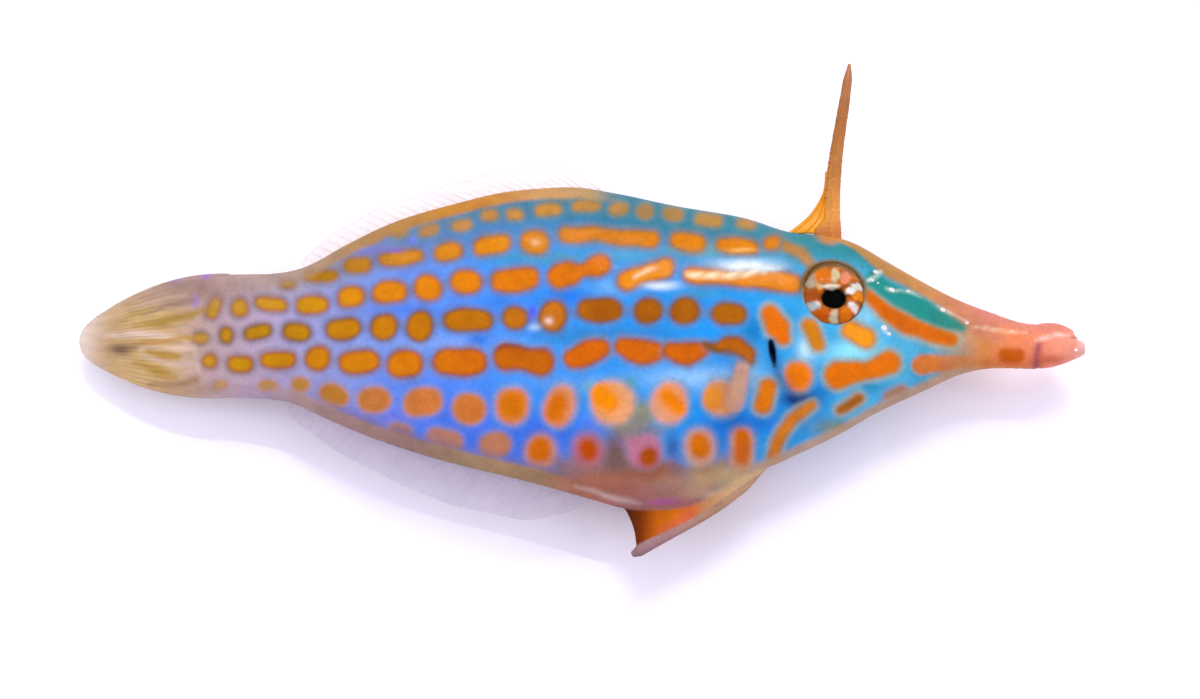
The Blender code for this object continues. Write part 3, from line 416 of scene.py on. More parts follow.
# Soft streaks on the belly and the tail: colour, strength, softness, and points with a radius, in pixels
SOFT_STREAKS = [
    # The first, along the belly's edge, is a painted highlight; the others are the tail's own streaks
    ("#ecdccf", 0.62, 4.5, [(576, 486, 0.2), (598, 493, 1.6), (618, 499, 1.8), (640, 504, 0.4)]),
    ("#ae8a34", 0.92, 5.0, [(206, 310, 2), (190, 315, 4.5), (163, 322, 5), (134, 326, 1.5)]),
    ("#b8964a", 0.75, 4.0, [(150, 309, 2), (132, 316, 3), (112, 326, 1)]),
    ("#ead2c0", 0.85, 4.0, [(186, 341, 1.2), (160, 335, 3), (130, 334, 3), (105, 336, 1)]),
    ("#c0923e", 0.85, 3.0, [(204, 338, 4), (186, 338, 3), (160, 341, 2.2), (134, 344, 1)]),
    ("#dcc0ac", 0.80, 3.0, [(194, 348, 2.5), (165, 348, 2), (140, 349, 1)]),
    ("#ae862c", 0.92, 4.0, [(178, 357, 2.5), (163, 355, 5), (148, 352, 2)]),
    ("#d2b6a6", 0.75, 3.0, [(198, 366, 3), (170, 363, 2.5), (140, 357, 1)]),
    ("#b48c38", 0.90, 4.5, [(176, 377, 2.5), (160, 372, 6), (134, 362, 2)]),
    ("#a07a54", 0.75, 3.5, [(196, 380, 3), (176, 385, 3), (150, 385, 2)]),
    ("#94745e", 0.70, 3.0, [(192, 300, 2), (166, 306, 2), (140, 316, 1)]),
    ("#c8aa94", 0.65, 2.5, [(186, 294, 1.5), (158, 300, 2), (132, 310, 1)]),
]

# Drops of water on the brow, the cheek and the snout: place in the photo's pixels, radius in millimetres
WATER_DROPS = [
    (876, 272, 0.24), (872, 280, 0.18), (892, 290, 0.24), (908, 291, 0.15), (943, 310, 0.22),
    (967, 323, 0.15), (884, 328, 0.24), (889, 334, 0.16), (1012, 331, 0.10), (1046, 336, 0.20),
    (1054, 334, 0.16), (1076, 350, 0.14), (878, 283, 0.10),
]
DROP_HEIGHT = 0.35  # of a drop, against its radius

# The eyeball turned round its axis: radius and height, from the pupil's floor over the iris and down
PUPIL_RADIUS, PUPIL_FLATNESS, IRIS_RADIUS = 0.88, 0.88, 2.15
EYE_PROFILE = [
    (0.02, 0.24), (0.45, 0.26), (0.76, 0.44), (PUPIL_RADIUS, 0.86), (PUPIL_RADIUS + 0.10, 0.98),
    (1.30, 1.02), (1.65, 0.97), (1.92, 0.88), (2.10, 0.78), (2.25, 0.66), (2.38, 0.50), (2.46, 0.25),
    (2.48, 0.0), (2.34, -0.55), (1.80, -1.05), (1.0, -1.38), (0.02, -1.5),
]
IRIS_AT, PUPIL_AT = (0.19, -0.30), (0.17, -0.585)  # off the eyeball's own axis
# Blotches of the iris: colour, place from the pupil's middle, and half sizes in millimetres
IRIS_BLOTCHES = [
    ("#ea7a08", -0.62, 1.76, 0.74, 0.66), ("#e4d098", 0.20, 1.72, 0.34, 0.60),
    ("#f4946e", 0.92, 1.54, 0.42, 0.56), ("#e4ead8", 1.72, 0.84, 0.56, 0.32),
    ("#fffff4", 1.20, 0.46, 0.40, 0.28), ("#fb9410", 1.80, 0.08, 0.56, 0.32),
    ("#fbf8f2", 1.36, -0.70, 0.42, 0.36), ("#f07c04", 0.84, -1.24, 0.50, 0.50),
    ("#dccfa8", -0.06, -1.46, 0.33, 0.62), ("#d86000", -0.90, -1.30, 0.58, 0.50),
    ("#bccac8", -1.52, -0.60, 0.56, 0.34), ("#f0dcc4", -1.10, -0.46, 0.22, 0.18),
    ("#a84a08", -1.50, 0.16, 0.66, 0.40), ("#b8ae8c", -1.58, 1.14, 0.50, 0.38),
    ("#b89a80", -1.56, 1.66, 0.36, 0.28), ("#dcbc88", -0.98, 0.88, 0.26, 0.22),
]

# The floor, the room, and soft boxes with place and size in metres, power in watts and colour
FLOOR_HALF, FLOOR_BELOW = 900, 0.00002  # millimetres; metres
ROOM_COLOUR, ROOM_STRENGTH = "#f0eafc", 0.94
LIGHTS = [
    ("main_box", (0.02, 0.36, 0.31), (0.24, 0.11), 0.80, "#fffefa"),
    ("gleam_strip", (0.07, 0.29, 0.365), (0.17, 0.008), 0.46, "#fffefa"),
    ("left_box", (-0.37, 0.02, 0.30), (0.25, 0.22), 0.41, "#f2f4ff"),
    ("right_box", (0.40, -0.05, 0.30), (0.25, 0.22), 0.46, "#f2f4ff"),
]


# Small helpers


def linear(code):
    """An sRGB hex colour as linear red, green and blue."""
    values = [int(code[i:i + 2], 16) / 255 for i in (1, 3, 5)]
    return tuple(v / 12.92 if v <= 0.04045 else ((v + 0.055) / 1.055) ** 2.4 for v in values)


def opaque(code):
    """An sRGB hex colour as linear red, green, blue and a full alpha."""
    return (*linear(code), 1)


def profile(points):
    """A smooth curve y(x) through given points, as a function of x."""
    xs, ys = (np.array(v, float) for v in zip(*sorted(points)))
    step = np.diff(xs)
    slope = np.diff(ys) / step
    tangent = np.zeros_like(ys)
    tangent[0], tangent[-1] = slope[0], slope[-1]
    for i in range(1, len(xs) - 1):
        if slope[i - 1] * slope[i] > 0:
            a, b = 2 * step[i] + step[i - 1], step[i] + 2 * step[i - 1]
            tangent[i] = (a + b) / (a / slope[i - 1] + b / slope[i])
    pad = 3 * PROFILE_BLUR if xs[-1] - xs[0] > 2 else 0.0
    fine = np.linspace(xs[0] - pad, xs[-1] + pad, 1200)
    i = np.clip(np.searchsorted(xs, fine) - 1, 0, len(step) - 1)
    t = np.clip((fine - xs[i]) / step[i], 0, 1)
    value = (
        ys[i] * (2 * t**3 - 3 * t**2 + 1) + tangent[i] * step[i] * (t**3 - 2 * t**2 + t)
        + ys[i + 1] * (3 * t**2 - 2 * t**3) + tangent[i + 1] * step[i] * (t**3 - t**2)
    )
    value += tangent[0] * np.minimum(fine - xs[0], 0) + tangent[-1] * np.maximum(fine - xs[-1], 0)
    if pad:
        reach = int(3 * PROFILE_BLUR / (fine[1] - fine[0]))
        weights = np.exp(-0.5 * np.linspace(-3, 3, 2 * reach + 1) ** 2)
        value = np.convolve(np.pad(value, reach, mode="edge"), weights / weights.sum(), mode="valid")
    return lambda x: np.interp(x, fine, value)


back_edge, belly_edge = profile(BACK_EDGE), profile(BELLY_EDGE)
half_width, widest_at, keel = profile(HALF_WIDTH), profile(WIDEST_AT), profile(KEEL)
rod_line, rod_radius = profile(ROD_LINE), profile(ROD_RADIUS)


def share(value, start, end):
    """How far value is from start to end, from 0 to 1."""
    return np.clip((value - start) / (end - start), 0.0, 1.0)


def smooth(value, start, end):
    """As share, with soft ends."""
    t = share(value, start, end)
    return t * t * (3 - 2 * t)


def fall(value, start, end):
    """From 1 before start to 0 after end, with soft ends."""
    return 1 - smooth(value, start, end)


def bell(value, middle, width):
    """1 at the middle, and down to nothing over about twice the width."""
    return np.exp(-(((value - middle) / width) ** 2))


def turns(count):
    """The angles of so many points round a ring."""
    return 2 * math.pi * np.arange(count) / count


def points_at(x, y, z):
    """Points as rows, from coordinates that are arrays or single numbers."""
    return np.stack(np.broadcast_arrays(x, y, z), axis=1)


# The body's form


def middle_height(x):
    """Height of the body's middle plane above the floor."""
    tail = share(x, TAIL_SAG_FROM, TAIL_TIP_X)
    snout = share(x, SNOUT_SAG_FROM, SNOUT_TIP_X)
    return MID_HEIGHT - TAIL_SAG * tail**1.8 - SNOUT_SAG * snout**2


def mouth_line(x):
    """Height of the mouth's cleft, which climbs a little towards the tip."""
    return -0.15 + 0.45 * share(x, LIP_ROOT, UPPER_LIP_TIP[0])


def body_points(x, fish_y, out):
    """Points from x, the height on the fish and the distance out from its middle plane."""
    return points_at(x, AXIS_Y + fish_y, middle_height(x) + out)


def skin_out(x, y, side):
    """Half the body's thickness at x and y, with the eye's rim and, below, the pectoral fin's dent."""
    middle = widest_at(x)
    reach = np.where(y > middle, back_edge(x) - middle, middle - belly_edge(x))
    t = np.minimum(1.0, np.abs(y - middle) / reach)
    out = half_width(x) * (1 - t**EDGE_POWER) ** keel(x)
    from_eye = np.hypot(x - EYE_X, y - EYE_Y)
    out = out + ORBIT_RIM * bell(from_eye, ORBIT_RIM_RADIUS, ORBIT_RIM_WIDTH)
    turn = math.radians(PECTORAL_TURN)
    down_fin = (x - PECTORAL_X) * math.cos(turn) + (y - PECTORAL_Y) * math.sin(turn)
    across_fin = (y - PECTORAL_Y) * math.cos(turn) - (x - PECTORAL_X) * math.sin(turn)
    down_fin = (down_fin - PECTORAL_LENGTH * 0.5) / (PECTORAL_LENGTH * DENT_HALF_LENGTH)
    from_fin = np.hypot(down_fin, across_fin / DENT_HALF_WIDTH)
    dent = DENT_DEPTH * (1 - share(from_fin, *DENT_RIM)) * np.minimum(1.0, out / 2)
    return out - np.where(side < 0, dent, 0.0)


# The photo's view


def photo_place(points):
    """Where points of the model show in the photo, in its pixels."""
    from_camera = points - CAMERA_AT
    depth = from_camera @ CAMERA_LOOKS
    u = PHOTO_SIZE[0] / 2 + PHOTO_FOCAL * (from_camera @ CAMERA_RIGHT) / depth
    v = PHOTO_SIZE[1] / 2 - PHOTO_FOCAL * (from_camera @ CAMERA_UP) / depth
    return u, v


def on_flank(u, v):
    """The point of the right flank that shows at a place in the photo."""
    across, down = u - PHOTO_SIZE[0] / 2, v - PHOTO_SIZE[1] / 2
    sight = CAMERA_LOOKS + (across * CAMERA_RIGHT - down * CAMERA_UP) / PHOTO_FOCAL
    z = MID_HEIGHT
    for _ in range(SIGHT_STEPS):
        at = CAMERA_AT + sight * (z - CAMERA_AT[2]) / sight[2]
        z = float(middle_height(at[0]) + skin_out(at[0], at[1] - AXIS_Y, 1))
    return np.array([at[0], at[1], z])


def flank_normal(at):
    """Which way the right flank faces at one of its points."""
    step = 0.05
    x, y = at[0], at[1] - AXIS_Y

    def height(px, py):
        return float(middle_height(px) + skin_out(px, py, 1))

    slope_x = (height(x + step, y) - height(x - step, y)) / (2 * step)
    slope_y = (height(x, y + step) - height(x, y - step)) / (2 * step)
    return Vector((-slope_x, -slope_y, 1)).normalized()


# Meshes


def placed(name, data):
    """A new object in the scene, from its mesh, light or camera."""
    obj = bpy.data.objects.new(name, data)
    bpy.context.scene.collection.objects.link(obj)
    return obj


def new_object(name, points, faces, material):
    """A smooth-shaded object from points in millimetres."""
    mesh = bpy.data.meshes.new(name)
    mesh.from_pydata([tuple(p) for p in np.asarray(points, float) * MM], [], faces)
    mesh.validate()
    mesh.shade_smooth()
    mesh.materials.append(material)
    return placed(name, mesh)


def mesh_points(obj):
    """An object's vertices, in millimetres."""
    points = np.zeros(len(obj.data.vertices) * 3, np.float32)
    obj.data.vertices.foreach_get("co", points)
    return points.reshape(-1, 3).astype(float) / MM


def move_points(obj, points):
    """Moves an object's vertices to points in millimetres."""
    obj.data.vertices.foreach_set("co", (points * MM).astype(np.float32).ravel())
    obj.data.update()


def set_attribute(obj, name, values):
    """A number or a colour at every vertex."""
    values = np.asarray(values, np.float32)
    if values.ndim == 1:
        obj.data.attributes.new(name, "FLOAT", "POINT").data.foreach_set("value", values)
    else:
        colours = np.concatenate([values, np.ones((len(values), 1), np.float32)], axis=1)
        layer = obj.data.color_attributes.new(name, "FLOAT_COLOR", "POINT")
        layer.data.foreach_set("color", colours.ravel())


def applied(obj):
    """Bakes an object's modifiers into its mesh."""
    graph = bpy.context.evaluated_depsgraph_get()
    made = bpy.data.meshes.new_from_object(obj.evaluated_get(graph))
    obj.modifiers.clear()
    obj.data = made


def joined(objects):
    """Joins objects into the first of them."""
    first = objects[0]
    with bpy.context.temp_override(
        active_object=first, object=first, selected_objects=objects, selected_editable_objects=objects,
    ):
        bpy.ops.object.join()
    return first


def loft(name, rings, material):
    """A closed solid through rings of as many points each."""
    count = len(rings[0])
    points = np.concatenate(rings)
    faces = [tuple(range(count))[::-1], tuple(range(len(points) - count, len(points)))]
    for i in range(len(rings) - 1):
        for k in range(count):
            a, b = i * count + k, i * count + (k + 1) % count
            faces.append((a, b, b + count, a + count))
    return new_object(name, points, faces, material)


def ellipsoid(name, centre, radii, material, columns, rows):
    """An ellipsoid whose poles point up and down."""
    rings, turn = [], turns(columns)
    for tilt in np.linspace(-math.pi / 2 + POLE_GAP, math.pi / 2 - POLE_GAP, rows):
        flat = math.cos(tilt)
        x = centre[0] + radii[0] * flat * np.cos(turn)
        y = centre[1] + radii[1] * flat * np.sin(turn)
        rings.append(points_at(x, y, centre[2] + radii[2] * math.sin(tilt)))
    return loft(name, rings, material)


def fin_sheet(name, place, half, columns, rows, material, ray=None):
    """A thin closed fin from place(u, v) and half thickness half(u, v), with its rays as an attribute."""
    u, v = np.meshgrid(np.linspace(0, 1, columns), np.linspace(0, 1, rows), indexing="ij")
    u, v = u.ravel(), v.ravel()
    middle = place(u, v)
    grid = middle.reshape(columns, rows, 3)
    normal = np.cross(np.gradient(grid, axis=0), np.gradient(grid, axis=1)).reshape(-1, 3)
    normal /= np.maximum(np.linalg.norm(normal, axis=1, keepdims=True), 1e-9)
    normal *= np.sign(normal[:, 2:3] + 1e-9)
    thick = half(u, v)[:, None]
    points = np.concatenate([middle + normal * thick, middle - normal * thick])
    under = columns * rows
    index = np.arange(under).reshape(columns, rows)
    quads = [index[:-1, :-1], index[1:, :-1], index[1:, 1:], index[:-1, 1:]]
    quads = np.stack(quads, axis=-1).reshape(-1, 4)
    faces = [tuple(q) for q in quads.tolist()] + [tuple(q[::-1]) for q in (quads + under).tolist()]
    rim = np.concatenate([index[:, 0], index[-1, 1:], index[-2::-1, -1], index[0, -2:0:-1]]).tolist()
    faces += [(b, a, under + a, under + b) for a, b in zip(rim, rim[1:] + rim[:1])]
    obj = new_object(name, points, faces, material)
    ray_values = ray(u, v) if ray else np.zeros_like(u)
    set_attribute(obj, "ray", np.concatenate([ray_values, ray_values]))
    set_attribute(obj, "reach", np.concatenate([v, v]))
    return obj


def carry(piece, slot, *nodes):
    """Lets a piece ride the fish in place of the CAD's nodes. Its slot is not used."""
    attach(piece, "root")
    if nodes:
        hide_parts(*nodes)


# Nodes


def add(material, kind, inputs=None, **settings):
    """Adds one shader node, with its settings, and its inputs' values or links."""
    made = material.node_tree.nodes.new(kind)
    for name, value in settings.items():
        setattr(made, name, value)
    for socket, value in (inputs or {}).items():
        if isinstance(value, bpy.types.NodeSocket):
            material.node_tree.links.new(value, made.inputs[socket])
        else:
            made.inputs[socket].default_value = value
    return made


def new_material(name):
    """An empty material."""
    material = bpy.data.materials.new(name)
    material.use_nodes = True
    material.node_tree.nodes.clear()
    return material


def finish_material(material, **inputs):
    """Ends a material in one Principled shader. Underscores in a socket's name stand for spaces."""
    sockets = {name.replace("_", " "): value for name, value in inputs.items()}
    shader = add(material, "ShaderNodeBsdfPrincipled", sockets)
    add(material, "ShaderNodeOutputMaterial", {"Surface": shader.outputs["BSDF"]})
    return material


def own_place(material):
    """The object's own coordinates."""
    return add(material, "ShaderNodeTexCoord").outputs["Object"]


def attribute(material, name, output="Fac"):
    """A number or a colour stored at the vertices."""
    return add(material, "ShaderNodeAttribute", attribute_name=name).outputs[output]


def noise(material, where, size, detail=4.0, roughness=0.6):
    """Noise whose features are about size millimetres wide."""
    inputs = {"Vector": where, "Scale": 1 / (size * MM), "Detail": detail, "Roughness": roughness}
    return add(material, "ShaderNodeTexNoise", inputs).outputs["Fac"]


def remap(material, value, source, target):
    """A value carried from one range to another."""
    inputs = {"Value": value, "From Min": source[0], "From Max": source[1]}
    inputs.update({"To Min": target[0], "To Max": target[1]})
    return add(material, "ShaderNodeMapRange", inputs).outputs["Result"]


def scaled(material, colour, value):
    """A colour made darker or lighter by a value about 1."""
    inputs = {0: colour, "Scale": value}
    return add(material, "ShaderNodeVectorMath", inputs, operation="SCALE").outputs["Vector"]


def combined(material, first, second, operation="MULTIPLY"):
    """Two values taken together, as a product if nothing else is said."""
    return add(material, "ShaderNodeMath", {0: first, 1: second}, operation=operation).outputs["Value"]


def bumped(material, height, strength, depth):
    """A normal roughened by height, depth millimetres deep."""
    inputs = {"Height": height, "Strength": strength, "Distance": depth * MM}
    return add(material, "ShaderNodeBump", inputs).outputs["Normal"]


def ramp(material, value, stops):
    """A colour ramp node with hex colour stops."""
    node = add(material, "ShaderNodeValToRGB", {"Fac": value})
    elements = node.color_ramp.elements
    while len(elements) < len(stops):
        elements.new(0.5)
    for element, (place, code) in zip(elements, stops):
        element.position = place
        element.color = opaque(code)
    return node.outputs["Color"]


# Materials


def mottled(material, colour, grain, low, high):
    """A colour that a grain makes darker and lighter, between two strengths."""
    return scaled(material, colour, remap(material, grain, (0.25, 0.75), (low, high)))


def stretched(material, scale):
    """The object's own place, squeezed along an axis so that noise on it runs in streaks."""
    inputs = {"Vector": own_place(material), "Scale": scale}
    return add(material, "ShaderNodeMapping", inputs).outputs["Vector"]


def flesh_glow(weight, *reach):
    """Light that spreads within flesh: how much, and how many millimetres for red, green and blue."""
    radius = [r * MM for r in reach]
    return {"Subsurface_Weight": weight, "Subsurface_Radius": radius, "Subsurface_Scale": 1.0}


def wet_fish_skin():
    """Live skin: tiny bristly scales, dull close up, under a film of water that breaks into wet glints."""
    material = new_material("wet_fish_skin")
    where = own_place(material)
    blotch = noise(material, where, 1.3)
    grain = noise(material, where, 0.24, 3.0, 0.7)
    film = noise(material, where, 0.9, 2.0)
    scale_size = {"Vector": where, "Scale": 1 / (0.32 * MM)}
    scales = add(material, "ShaderNodeTexVoronoi", scale_size).outputs["Distance"]
    tone = remap(material, blotch, (0.25, 0.75), (0.67, 0.89))
    speck = remap(material, grain, (0.2, 0.8), (0.88, 1.12))
    colour = attribute(material, "skin_colour", "Color")
    relief = combined(material, scales, grain, "ADD")
    ripples = combined(material, film, combined(material, relief, 0.12), "ADD")
    return finish_material(
        material, Base_Color=scaled(material, colour, combined(material, tone, speck)),
        Roughness=remap(material, blotch, (0.3, 0.7), (0.50, 0.62)), IOR=1.37, Specular_IOR_Level=0.05,
        Coat_Weight=0.14, Coat_Roughness=0.09, Coat_IOR=1.33, Normal=bumped(material, relief, 0.30, 0.05),
        Coat_Normal=bumped(material, ripples, 0.5, 0.12), **flesh_glow(0.04, 0.6, 0.35, 0.25),
    )


def fin_membrane(name, membrane, ray, membrane_alpha, ray_alpha, tip_alpha):
    """Thin wet membrane stretched over bony rays: clear between the rays, cloudier on them."""
    material = new_material(name)
    on_ray = attribute(material, "ray")
    cloud = noise(material, own_place(material), 0.9)
    colour = ramp(material, on_ray, [(0.0, membrane), (1.0, ray)])
    alpha = remap(material, on_ray, (0, 1), (membrane_alpha, ray_alpha))
    fade = remap(material, attribute(material, "reach"), (0.35, 1), (1, tip_alpha))
    return finish_material(
        material, Base_Color=mottled(material, colour, cloud, 0.74, 0.98), Roughness=0.30, IOR=1.38,
        Specular_IOR_Level=0.2, Alpha=combined(material, alpha, fade), Coat_Weight=0.3,
        Coat_Roughness=0.12, Normal=bumped(material, cloud, 0.2, 0.05),
    )


def yellow_sail():
    """The sail behind the spine: thick yellow skin, which light hardly passes."""
    return fin_membrane("yellow_sail", "#f8a800", "#e08a00", 0.95, 0.98, 0.96)


def clear_back_fin():
    """The back fin: nearly clear, a pinkish haze with slightly cloudier rays."""
    return fin_membrane("clear_back_fin", "#f2e6de", "#e8d2c4", 0.30, 0.38, 0.7)


def clear_belly_fin():
    """The anal fin: clearer still, and cooler in colour."""
    return fin_membrane("clear_belly_fin", "#bcb0c8", "#c6b8c4", 0.22, 0.27, 0.7)


def brown_side_fin():
    """A side fin: clear between brownish rays, so that it veils the flank."""
    return fin_membrane("brown_side_fin", "#cc9880", "#d8a480", 0.06, 0.78, 0.75)


def tail_skin():
    """The folded tail fin: rays packed side by side under tan skin, so that it is hardly clear at all."""
    material = new_material("folded_tail_skin")
    fibre = noise(material, stretched(material, (0.16, 1.0, 1.0)), 0.40)
    tone = remap(material, fibre, (0.25, 0.75), (0.66, 0.92))
    ridge = remap(material, attribute(material, "ray"), (0, 1), (0.97, 1.03))
    colour = scaled(material, attribute(material, "skin_colour", "Color"), combined(material, tone, ridge))
    return finish_material(
        material, Base_Color=colour, Roughness=0.5, IOR=1.38, Specular_IOR_Level=0.15,
        Alpha=remap(material, attribute(material, "reach"), (0.6, 1), (1, 0.5)),
        Coat_Weight=0.25, Coat_Roughness=0.16, Normal=bumped(material, fibre, 0.3, 0.06),
        **flesh_glow(0.15, 0.8, 0.6, 0.4),
    )


def spine_horn():
    """Bony horn: fine grooves along it, yellow at the foot and browner towards the tip."""
    material = new_material("spine_horn")
    fibre = noise(material, stretched(material, (1.0, 0.12, 1.0)), 0.16)
    stops = [(0.0, "#cf7c2c"), (0.10, "#f0a03a"), (0.34, "#c27a28"), (0.7, "#b06c26"), (1.0, "#b87850")]
    colour = ramp(material, attribute(material, "reach"), stops)
    return finish_material(
        material, Base_Color=mottled(material, colour, fibre, 0.60, 0.90), Roughness=0.42, IOR=1.54,
        Specular_IOR_Level=0.2, Coat_Weight=0.25, Coat_Roughness=0.15,
        Normal=bumped(material, fibre, 0.5, 0.06), **flesh_glow(0.06, 0.6, 0.35, 0.15),
    )


def iris_flesh():
    """The iris: blotches of orange and pearly white round a black pupil, seen through the cornea."""
    material = new_material("iris_flesh")
    fleck = noise(material, own_place(material), 0.22)
    colour = attribute(material, "skin_colour", "Color")
    shine = combined(material, attribute(material, "shine"), 0.08)
    return finish_material(
        material, Base_Color=mottled(material, colour, fleck, 0.70, 0.98), Roughness=0.5, IOR=1.36,
        Specular_IOR_Level=shine, Normal=bumped(material, fleck, 0.3, 0.04),
    )


def clear_cornea():
    """The cornea, clear and always wet. Its index is low, for the water film and the flesh behind it."""
    return finish_material(
        new_material("clear_cornea"), Base_Color=opaque("#ffffff"), Roughness=0.02, IOR=1.14,
        Transmission_Weight=1.0,
    )


def white_glint_drop():
    """Drops of water and slime, half clear and very wet; their near-white colour is mostly a painted
    highlight.
    """
    return finish_material(
        new_material("white_glint_drop"), Base_Color=opaque("#fff6ee"), Roughness=0.12, IOR=1.34, Alpha=0.6,
        Coat_Weight=1.0, Coat_Roughness=0.05,
    )


def studio_floor():
    """Smooth pale card, a little mottled."""
    material = new_material("pale_floor")
    mottle = noise(material, own_place(material), 9.0, 3.0)
    colour = ramp(material, mottle, [(0.3, "#f6f5fb"), (0.7, "#fbfaff")])
    return finish_material(material, Base_Color=colour, Roughness=0.6)


# Painting


def capsule_distance(u, v, chain):
    """Signed distance in pixels from a chain of circles, below 0 inside it."""
    best = np.full(u.shape, 1e9)
    for (au, av, ar), (bu, bv, br) in zip(chain[:-1], chain[1:]):
        du, dv = bu - au, bv - av
        t = np.clip(((u - au) * du + (v - av) * dv) / (du * du + dv * dv), 0, 1)
        best = np.minimum(best, np.hypot(u - au - t * du, v - av - t * dv) - (ar + (br - ar) * t))
    return best


def spot_gap(u, v, spot):
    """About the distance in pixels from a simple spot's outline: an ellipse, squarer where it is long."""
    at_u, at_v, length, height, lean = spot
    turn = math.radians(lean if length >= height else -lean)
    half_long, half_high = SPOT_SPREAD * length, SPOT_SPREAD * height
    power = min(2.7, 1.3 + 0.75 * max(length, height) / min(length, height))
    near = np.abs(u - at_u) < PAINT_REACH
    across, down = u[near] - at_u, v[near] - at_v
    long_way = np.abs((across * math.cos(turn) - down * math.sin(turn)) / half_long) + 1e-4
    high_way = np.abs((across * math.sin(turn) + down * math.cos(turn)) / half_high) + 1e-4
    reach = (long_way**power + high_way**power) ** (1 / power)
    slope_long = (long_way / reach) ** (power - 1) / half_long
    slope_high = (high_way / reach) ** (power - 1) / half_high
    gap = np.full(u.shape, FAR)
    gap[near] = (reach - 1) / np.hypot(slope_long, slope_high)
    return gap


def gap_to(u, v, chain):
    """As capsule_distance, worked out only near the chain."""
    near = np.abs(u - np.mean([p[0] for p in chain])) < PAINT_REACH
    gap = np.full(u.shape, FAR)
    gap[near] = capsule_distance(u[near], v[near], chain)
    return gap


def mix(colour, other, amount):
    """Blends other, a hex code or colours, over colour by amount."""
    other = np.array(linear(other)) if isinstance(other, str) else other
    amount = np.asarray(amount)[:, None]
    return colour * (1 - amount) + other * amount


def layered(colour, *layers):
    """Blends layers over colour, one after the other. Each is a colour and its amount."""
    for other, amount in layers:
        colour = mix(colour, other, amount)
    return colour


def along(x, stops):
    """A colour at each x, between hex stops at set places."""
    places, codes = zip(*sorted(stops))
    channels = np.array([linear(c) for c in codes])
    return np.stack([np.interp(x, places, channels[:, k]) for k in range(3)], axis=1)


def blot(u, v, at_u, at_v, half_u, half_v):
    """A soft oval blot, 1 in the middle."""
    return np.exp(-(((u - at_u) / half_u) ** 2) - ((v - at_v) / half_v) ** 2)


def soft_chain(u, v, chain, softness):
    """1 within a chain of circles, fading over its edge."""
    return fall(capsule_distance(u, v, chain), -softness, softness)


def halo(gap):
    """1 on a ring just outside a mark's edge."""
    return bell(gap, RING_AT, RING_WIDTH)


def painted_places(points):
    """Where points of the body lie on the painted flank, in pixels. The lower side's marks shift a little."""
    x, _, z = points.T
    middle = middle_height(x)
    lower_side = z < middle
    seen = points.copy()
    seen[:, 2] = middle + np.abs(z - middle)
    u, v = photo_place(seen)
    ripple = 0.5 * np.sin(v / 6.7 + u / 19) + 0.15 * np.sin(v / 3.3 + 2.2 * np.sin(u / 8.7))
    wave = 0.5 * np.sin(u / 5.9 - v / 21) + 0.15 * np.sin(u / 3.7 + 2.2 * np.sin(v / 7.9))
    u = u + ripple + np.where(lower_side, 7 * np.sin(v / 31 + 1.3) + 4, 0)
    v = v + wave + np.where(lower_side, 3.5 * np.sin(u / 43 + 0.6), 0)
    return u, v


def flank_colours(points):
    """The skin's colour at points of the body, worked out from where they show in the photo."""
    u, v = painted_places(points)
    x, fish_y = points[:, 0], points[:, 1] - AXIS_Y
    from_back, from_belly = back_edge(x) - fish_y, fish_y - belly_edge(x)
    depth = back_edge(x) - belly_edge(x)
    low_blue = fall(from_belly, 2.5, 7.5) * smooth(x, -17, -9) * fall(x, 1, 6)
    colour = layered(
        along(x, FLANK_COLOURS), (along(x, BACK_COLOURS), fall(from_back / depth, 0.06, 0.34)),
        ("#4576ee", 0.8 * low_blue),
    )
    for code, strength, *place in UNDER_PATCHES_AND_HIGHLIGHTS:
        colour = mix(colour, code, np.minimum(0.98, strength * blot(u, v, *place)))
    colour = paint_marks(colour, u, v)
    colour = paint_edges(colour, x, {"back": from_back, "belly": from_belly})
    for code, strength, *place in OVER_PATCHES_AND_HIGHLIGHTS:
        colour = mix(colour, code, strength * blot(u, v, *place))
    for code, strength, softness, streak in SOFT_STREAKS:
        colour = mix(colour, code, strength * soft_chain(u, v, streak, softness))
    colour = mix(colour, "#f2dcc6", 0.80 * fall(u, *TAIL_END_FADES))
    colour = paint_head(colour, u, v, x, fish_y, from_back)
    return paint_flap(colour, x, fish_y)


def paint_mark(colour, gap, tint, row):
    """One mark: a ring round it, a duller edge and its own colour within."""
    edge, ring, strength, ring_strength = ROW_EDGES[row]
    core = smooth(-gap, -0.8, 6.4)
    shade = np.array(linear(edge)) * (1 - core[:, None]) + tint * core[:, None]
    within = fall(gap, -SPOT_SOFTNESS, SPOT_SOFTNESS)
    return layered(colour, (ring, ring_strength * halo(gap)), (shade, strength * within))


def paint_necks(colour, u, v):
    """The faint necks between some neighbours of the middle rows."""
    for row in JOINED_ROWS:
        marks = [m for m in SPOT_ROWS[row] if m[0] > NECKS_FROM]
        for one, other in zip(marks, marks[1:]):
            if other[0] - other[2] / 2 - one[0] - one[2] / 2 < NECK_REACH:
                neck = gap_to(u, v, [(one[0], one[1], 5), (other[0], other[1], 5)])
                colour = mix(colour, "#7c7a8e", 0.42 * fall(neck, -4, 4))
    return colour


def paint_ringed_spots(colour, u, v):
    """The low spots, each a strong core that glows into a wide pale ring."""
    for ring_spot, core_spot, ring, core in RINGED_SPOTS:
        gap, from_core = spot_gap(u, v, ring_spot), spot_gap(u, v, core_spot)
        fringe, glow = ("#8c8290", 0.15) if ring_spot[1] > LOWEST_RINGS_FROM else ("#93a48c", 0.45)
        colour = layered(
            colour, (fringe, 0.35 * halo(gap)), (ring, 0.97 * fall(gap, -6.5, 3.4)),
            (core, glow * fall(from_core, 0, 12) * smooth(-gap, -1, 3)), (core, fall(from_core, -4.5, 4.5)),
        )
    return colour


